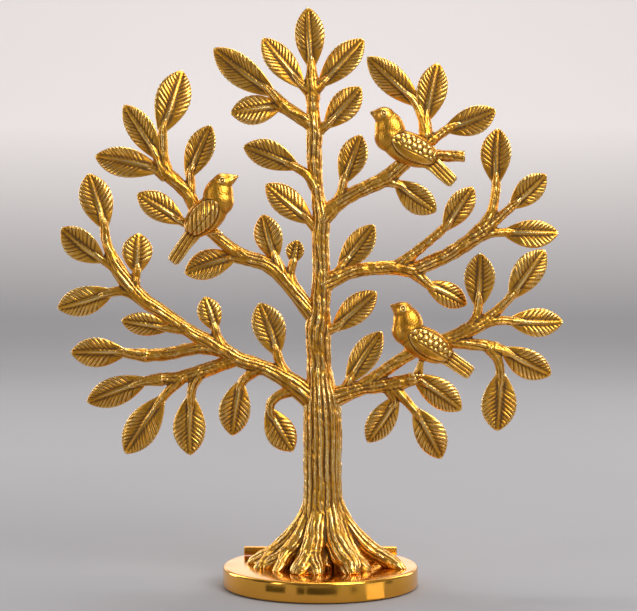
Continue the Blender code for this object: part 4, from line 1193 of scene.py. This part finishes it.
class TREE_OT_set_stage(bpy.types.Operator):
    """Set the floor, backdrop, cards, soft lights and camera"""

    bl_idname = "tree.set_stage"
    bl_label = "Stage"

    def execute(self, context):
        stage = context.scene.tree_stage
        self.floor(stage)
        self.lights(stage)
        self.camera(stage)
        return {"FINISHED"}

    def floor(self, stage):
        """A floor that sweeps up into a backdrop."""
        obj = add_shape("plane", size=1)
        edit_all()
        bpy.ops.transform.resize(value=(7, 5, 1))
        bpy.ops.mesh.select_mode(type="EDGE")
        pick_edges(obj, lambda p: p.y > 1)
        bpy.ops.mesh.extrude_region_move(TRANSFORM_OT_translate={"value": (0, 0, 4)})
        pick_edges(obj, lambda p: p.y > 1 and p.z < 0.1)
        bpy.ops.mesh.bevel(offset=0.8, segments=16, affect="EDGES")
        bpy.ops.mesh.select_all(action="SELECT")
        bpy.ops.mesh.normals_make_consistent(inside=False)
        bpy.ops.object.mode_set(mode="OBJECT")
        bpy.ops.object.shade_smooth()
        made, tree, shader = new_material("matt_paper", 0.0, 0.85)
        place = tree.nodes.new("ShaderNodeTexCoord").outputs["Object"]
        tone = tuple(stage.floor)
        paper = mix_colour(tree, noise(tree, place, 3.0, 2.0), tone, [c * 0.94 for c in tone])
        height = tree.nodes.new("ShaderNodeSeparateXYZ")
        tree.links.new(place, height.inputs[0])
        tree.links.new(mix_colour(tree, map_range(tree, height.outputs["Z"], 0.02, 0.3), paper, stage.wall),
                       shader.inputs["Base Color"])
        obj.data.materials.append(made)
        obj.name = "floor_sweep"
        obj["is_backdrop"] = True

    def lights(self, stage):
        world = bpy.data.worlds.new("studio")
        bpy.context.scene.world = world
        world.use_nodes = True
        world.node_tree.nodes["Background"].inputs["Color"].default_value = (0.86, 0.84, 0.82, 1)
        world.node_tree.nodes["Background"].inputs["Strength"].default_value = 0.3
        target = Vector((0, 0, 0.15))
        for name, spot, size, power in (
            ("key", (0.7, -0.9, 0.85), (0.7, 0.7), 1.0),
            ("fill", (-1.1, -0.8, 0.35), (0.35, 0.9), 0.3),
            ("top", (0.1, 0.15, 1.15), (0.9, 0.4), 0.55),
            ("rim_left", (-0.9, 0.6, 0.4), (0.3, 0.9), 0.35),
            ("rim_right", (0.9, 0.7, 0.5), (0.3, 0.9), 0.35),
            ("back", (0, 1.2, 0.27), (1.5, 0.3), 0.06),
            ("wall", (0, 0.9, 1.5), (3.0, 0.8), 2.1),
        ):
            light = bpy.data.lights.new(name, "AREA")
            light.shape = "RECTANGLE"
            light.size, light.size_y = size
            light.energy = stage.key_power * power
            obj = bpy.data.objects.new(name, light)
            bpy.context.scene.collection.objects.link(obj)
            obj.location = spot
            aim = Vector((0, 2.5, 0.1)) if name == "wall" else target
            obj.rotation_euler = (aim - Vector(spot)).to_track_quat("-Z", "Y").to_euler()
            obj.visible_camera = False
            obj.visible_diffuse = name != "back"
        for name, spot, size in (
            ("dark_card_left", (-0.95, -0.35, 0.2), (0.5, 0.9)),
            ("dark_card_front_left", (-0.5, -1.25, 0.2), (0.45, 0.9)),
            ("dark_card_front", (0.1, -1.5, 0.05), (0.9, 0.28)),
        ):
            card = self.card(name, 0.02)
            card.scale = (*size, 1)
            card.location = spot
            card.rotation_euler = (target - Vector(spot)).to_track_quat("Z", "Y").to_euler()
        # Painted reflections: dark and bright cards laid on the floor round the base and hidden from the
        # camera, so the polished side of the base shows their dark bands and bright patch.
        for number, (start, end, near, far, shade) in enumerate((
            (-33, -20.5, 22, 90, 0.015), (-13.5, -9, 20, 105, 0.02), (-8, 9.5, 20, 110, 0.01),
            (17.5, 21, 26, 80, 0.03), (27, 39, 4, 130, 0.98), (40, 46, 60, 130, 0.02),
        )):
            card = self.card(f"floor_card_{number}", shade)
            corners = ((start, near), (end, near), (start, far), (end, far))
            for vert, (turn, reach) in zip(card.data.vertices, corners):
                turn = math.radians(turn)
                vert.co = MM * Vector((50 * math.sin(turn) + reach * math.sin(2 * turn),
                                       -50 * math.cos(turn) - reach * math.cos(2 * turn), 0.4))

    def card(self, name, shade):
        """A card of a grey shade, seen only where the metal reflects it."""
        card = add_shape("plane", size=1)
        card.name = name
        card.visible_camera = card.visible_shadow = card.visible_diffuse = False
        made, _, shader = new_material(name, 0.0, 0.9)
        shader.inputs["Base Color"].default_value = (shade, shade * 0.9, shade * 0.8, 1)
        card.data.materials.append(made)
        card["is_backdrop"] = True
        return card

    def camera(self, stage):
        camera = bpy.data.cameras.new("camera")
        obj = bpy.data.objects.new("camera", camera)
        bpy.context.scene.collection.objects.link(obj)
        aim = Vector((-0.001, 0, 0.1469))
        obj.location = (-0.001, -stage.distance, 0.211)
        gap = aim - obj.location
        obj.rotation_euler = gap.to_track_quat("-Z", "Y").to_euler()
        camera.sensor_width = SENSOR_WIDTH
        camera.lens = SENSOR_WIDTH * gap.length / FRAME_WIDTH
        camera.clip_start = 0.01
        bpy.context.scene.camera = obj
        bpy.context.scene.view_settings.view_transform = "Standard"


class TREE_PT_tree(bpy.types.Panel):
    """Lists the tree's settings and the steps that build it"""

    bl_label = "Tree of life"
    bl_idname = "TREE_PT_tree"
    bl_space_type = "VIEW_3D"
    bl_region_type = "UI"
    bl_category = "Tree"

    def draw(self, context):
        for group in (context.scene.tree_casting, context.scene.tree_finish, context.scene.tree_stage):
            box = self.layout.box()
            for key in group.__annotations__:
                box.prop(group, key)
        for step in STEPS:
            self.layout.operator(step.bl_idname)


STEPS = (
    TREE_OT_model_base, TREE_OT_model_felt, TREE_OT_model_bar, TREE_OT_finish_fixings, TREE_OT_model_trunk,
    TREE_OT_model_limbs, TREE_OT_model_birds, TREE_OT_set_stage,
)
CLASSES = (TreeCasting, TreeFinish, TreeStage, *STEPS, TREE_PT_tree)


def register():
    for item in CLASSES:
        bpy.utils.register_class(item)
    bpy.types.Scene.tree_casting = PointerProperty(type=TreeCasting)
    bpy.types.Scene.tree_finish = PointerProperty(type=TreeFinish)
    bpy.types.Scene.tree_stage = PointerProperty(type=TreeStage)


def unregister():
    del bpy.types.Scene.tree_casting, bpy.types.Scene.tree_finish, bpy.types.Scene.tree_stage
    for item in reversed(CLASSES):
        bpy.utils.unregister_class(item)


def main():
    register()
    for step in STEPS:
        family, action = step.bl_idname.split(".")
        getattr(getattr(bpy.ops, family), action)()
    boxes = {"cad": CAD_BOX, "visual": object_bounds()}
    {key: [list(corner) for corner in box] for key, box in boxes.items()}


if __name__ == "__main__":
    main()
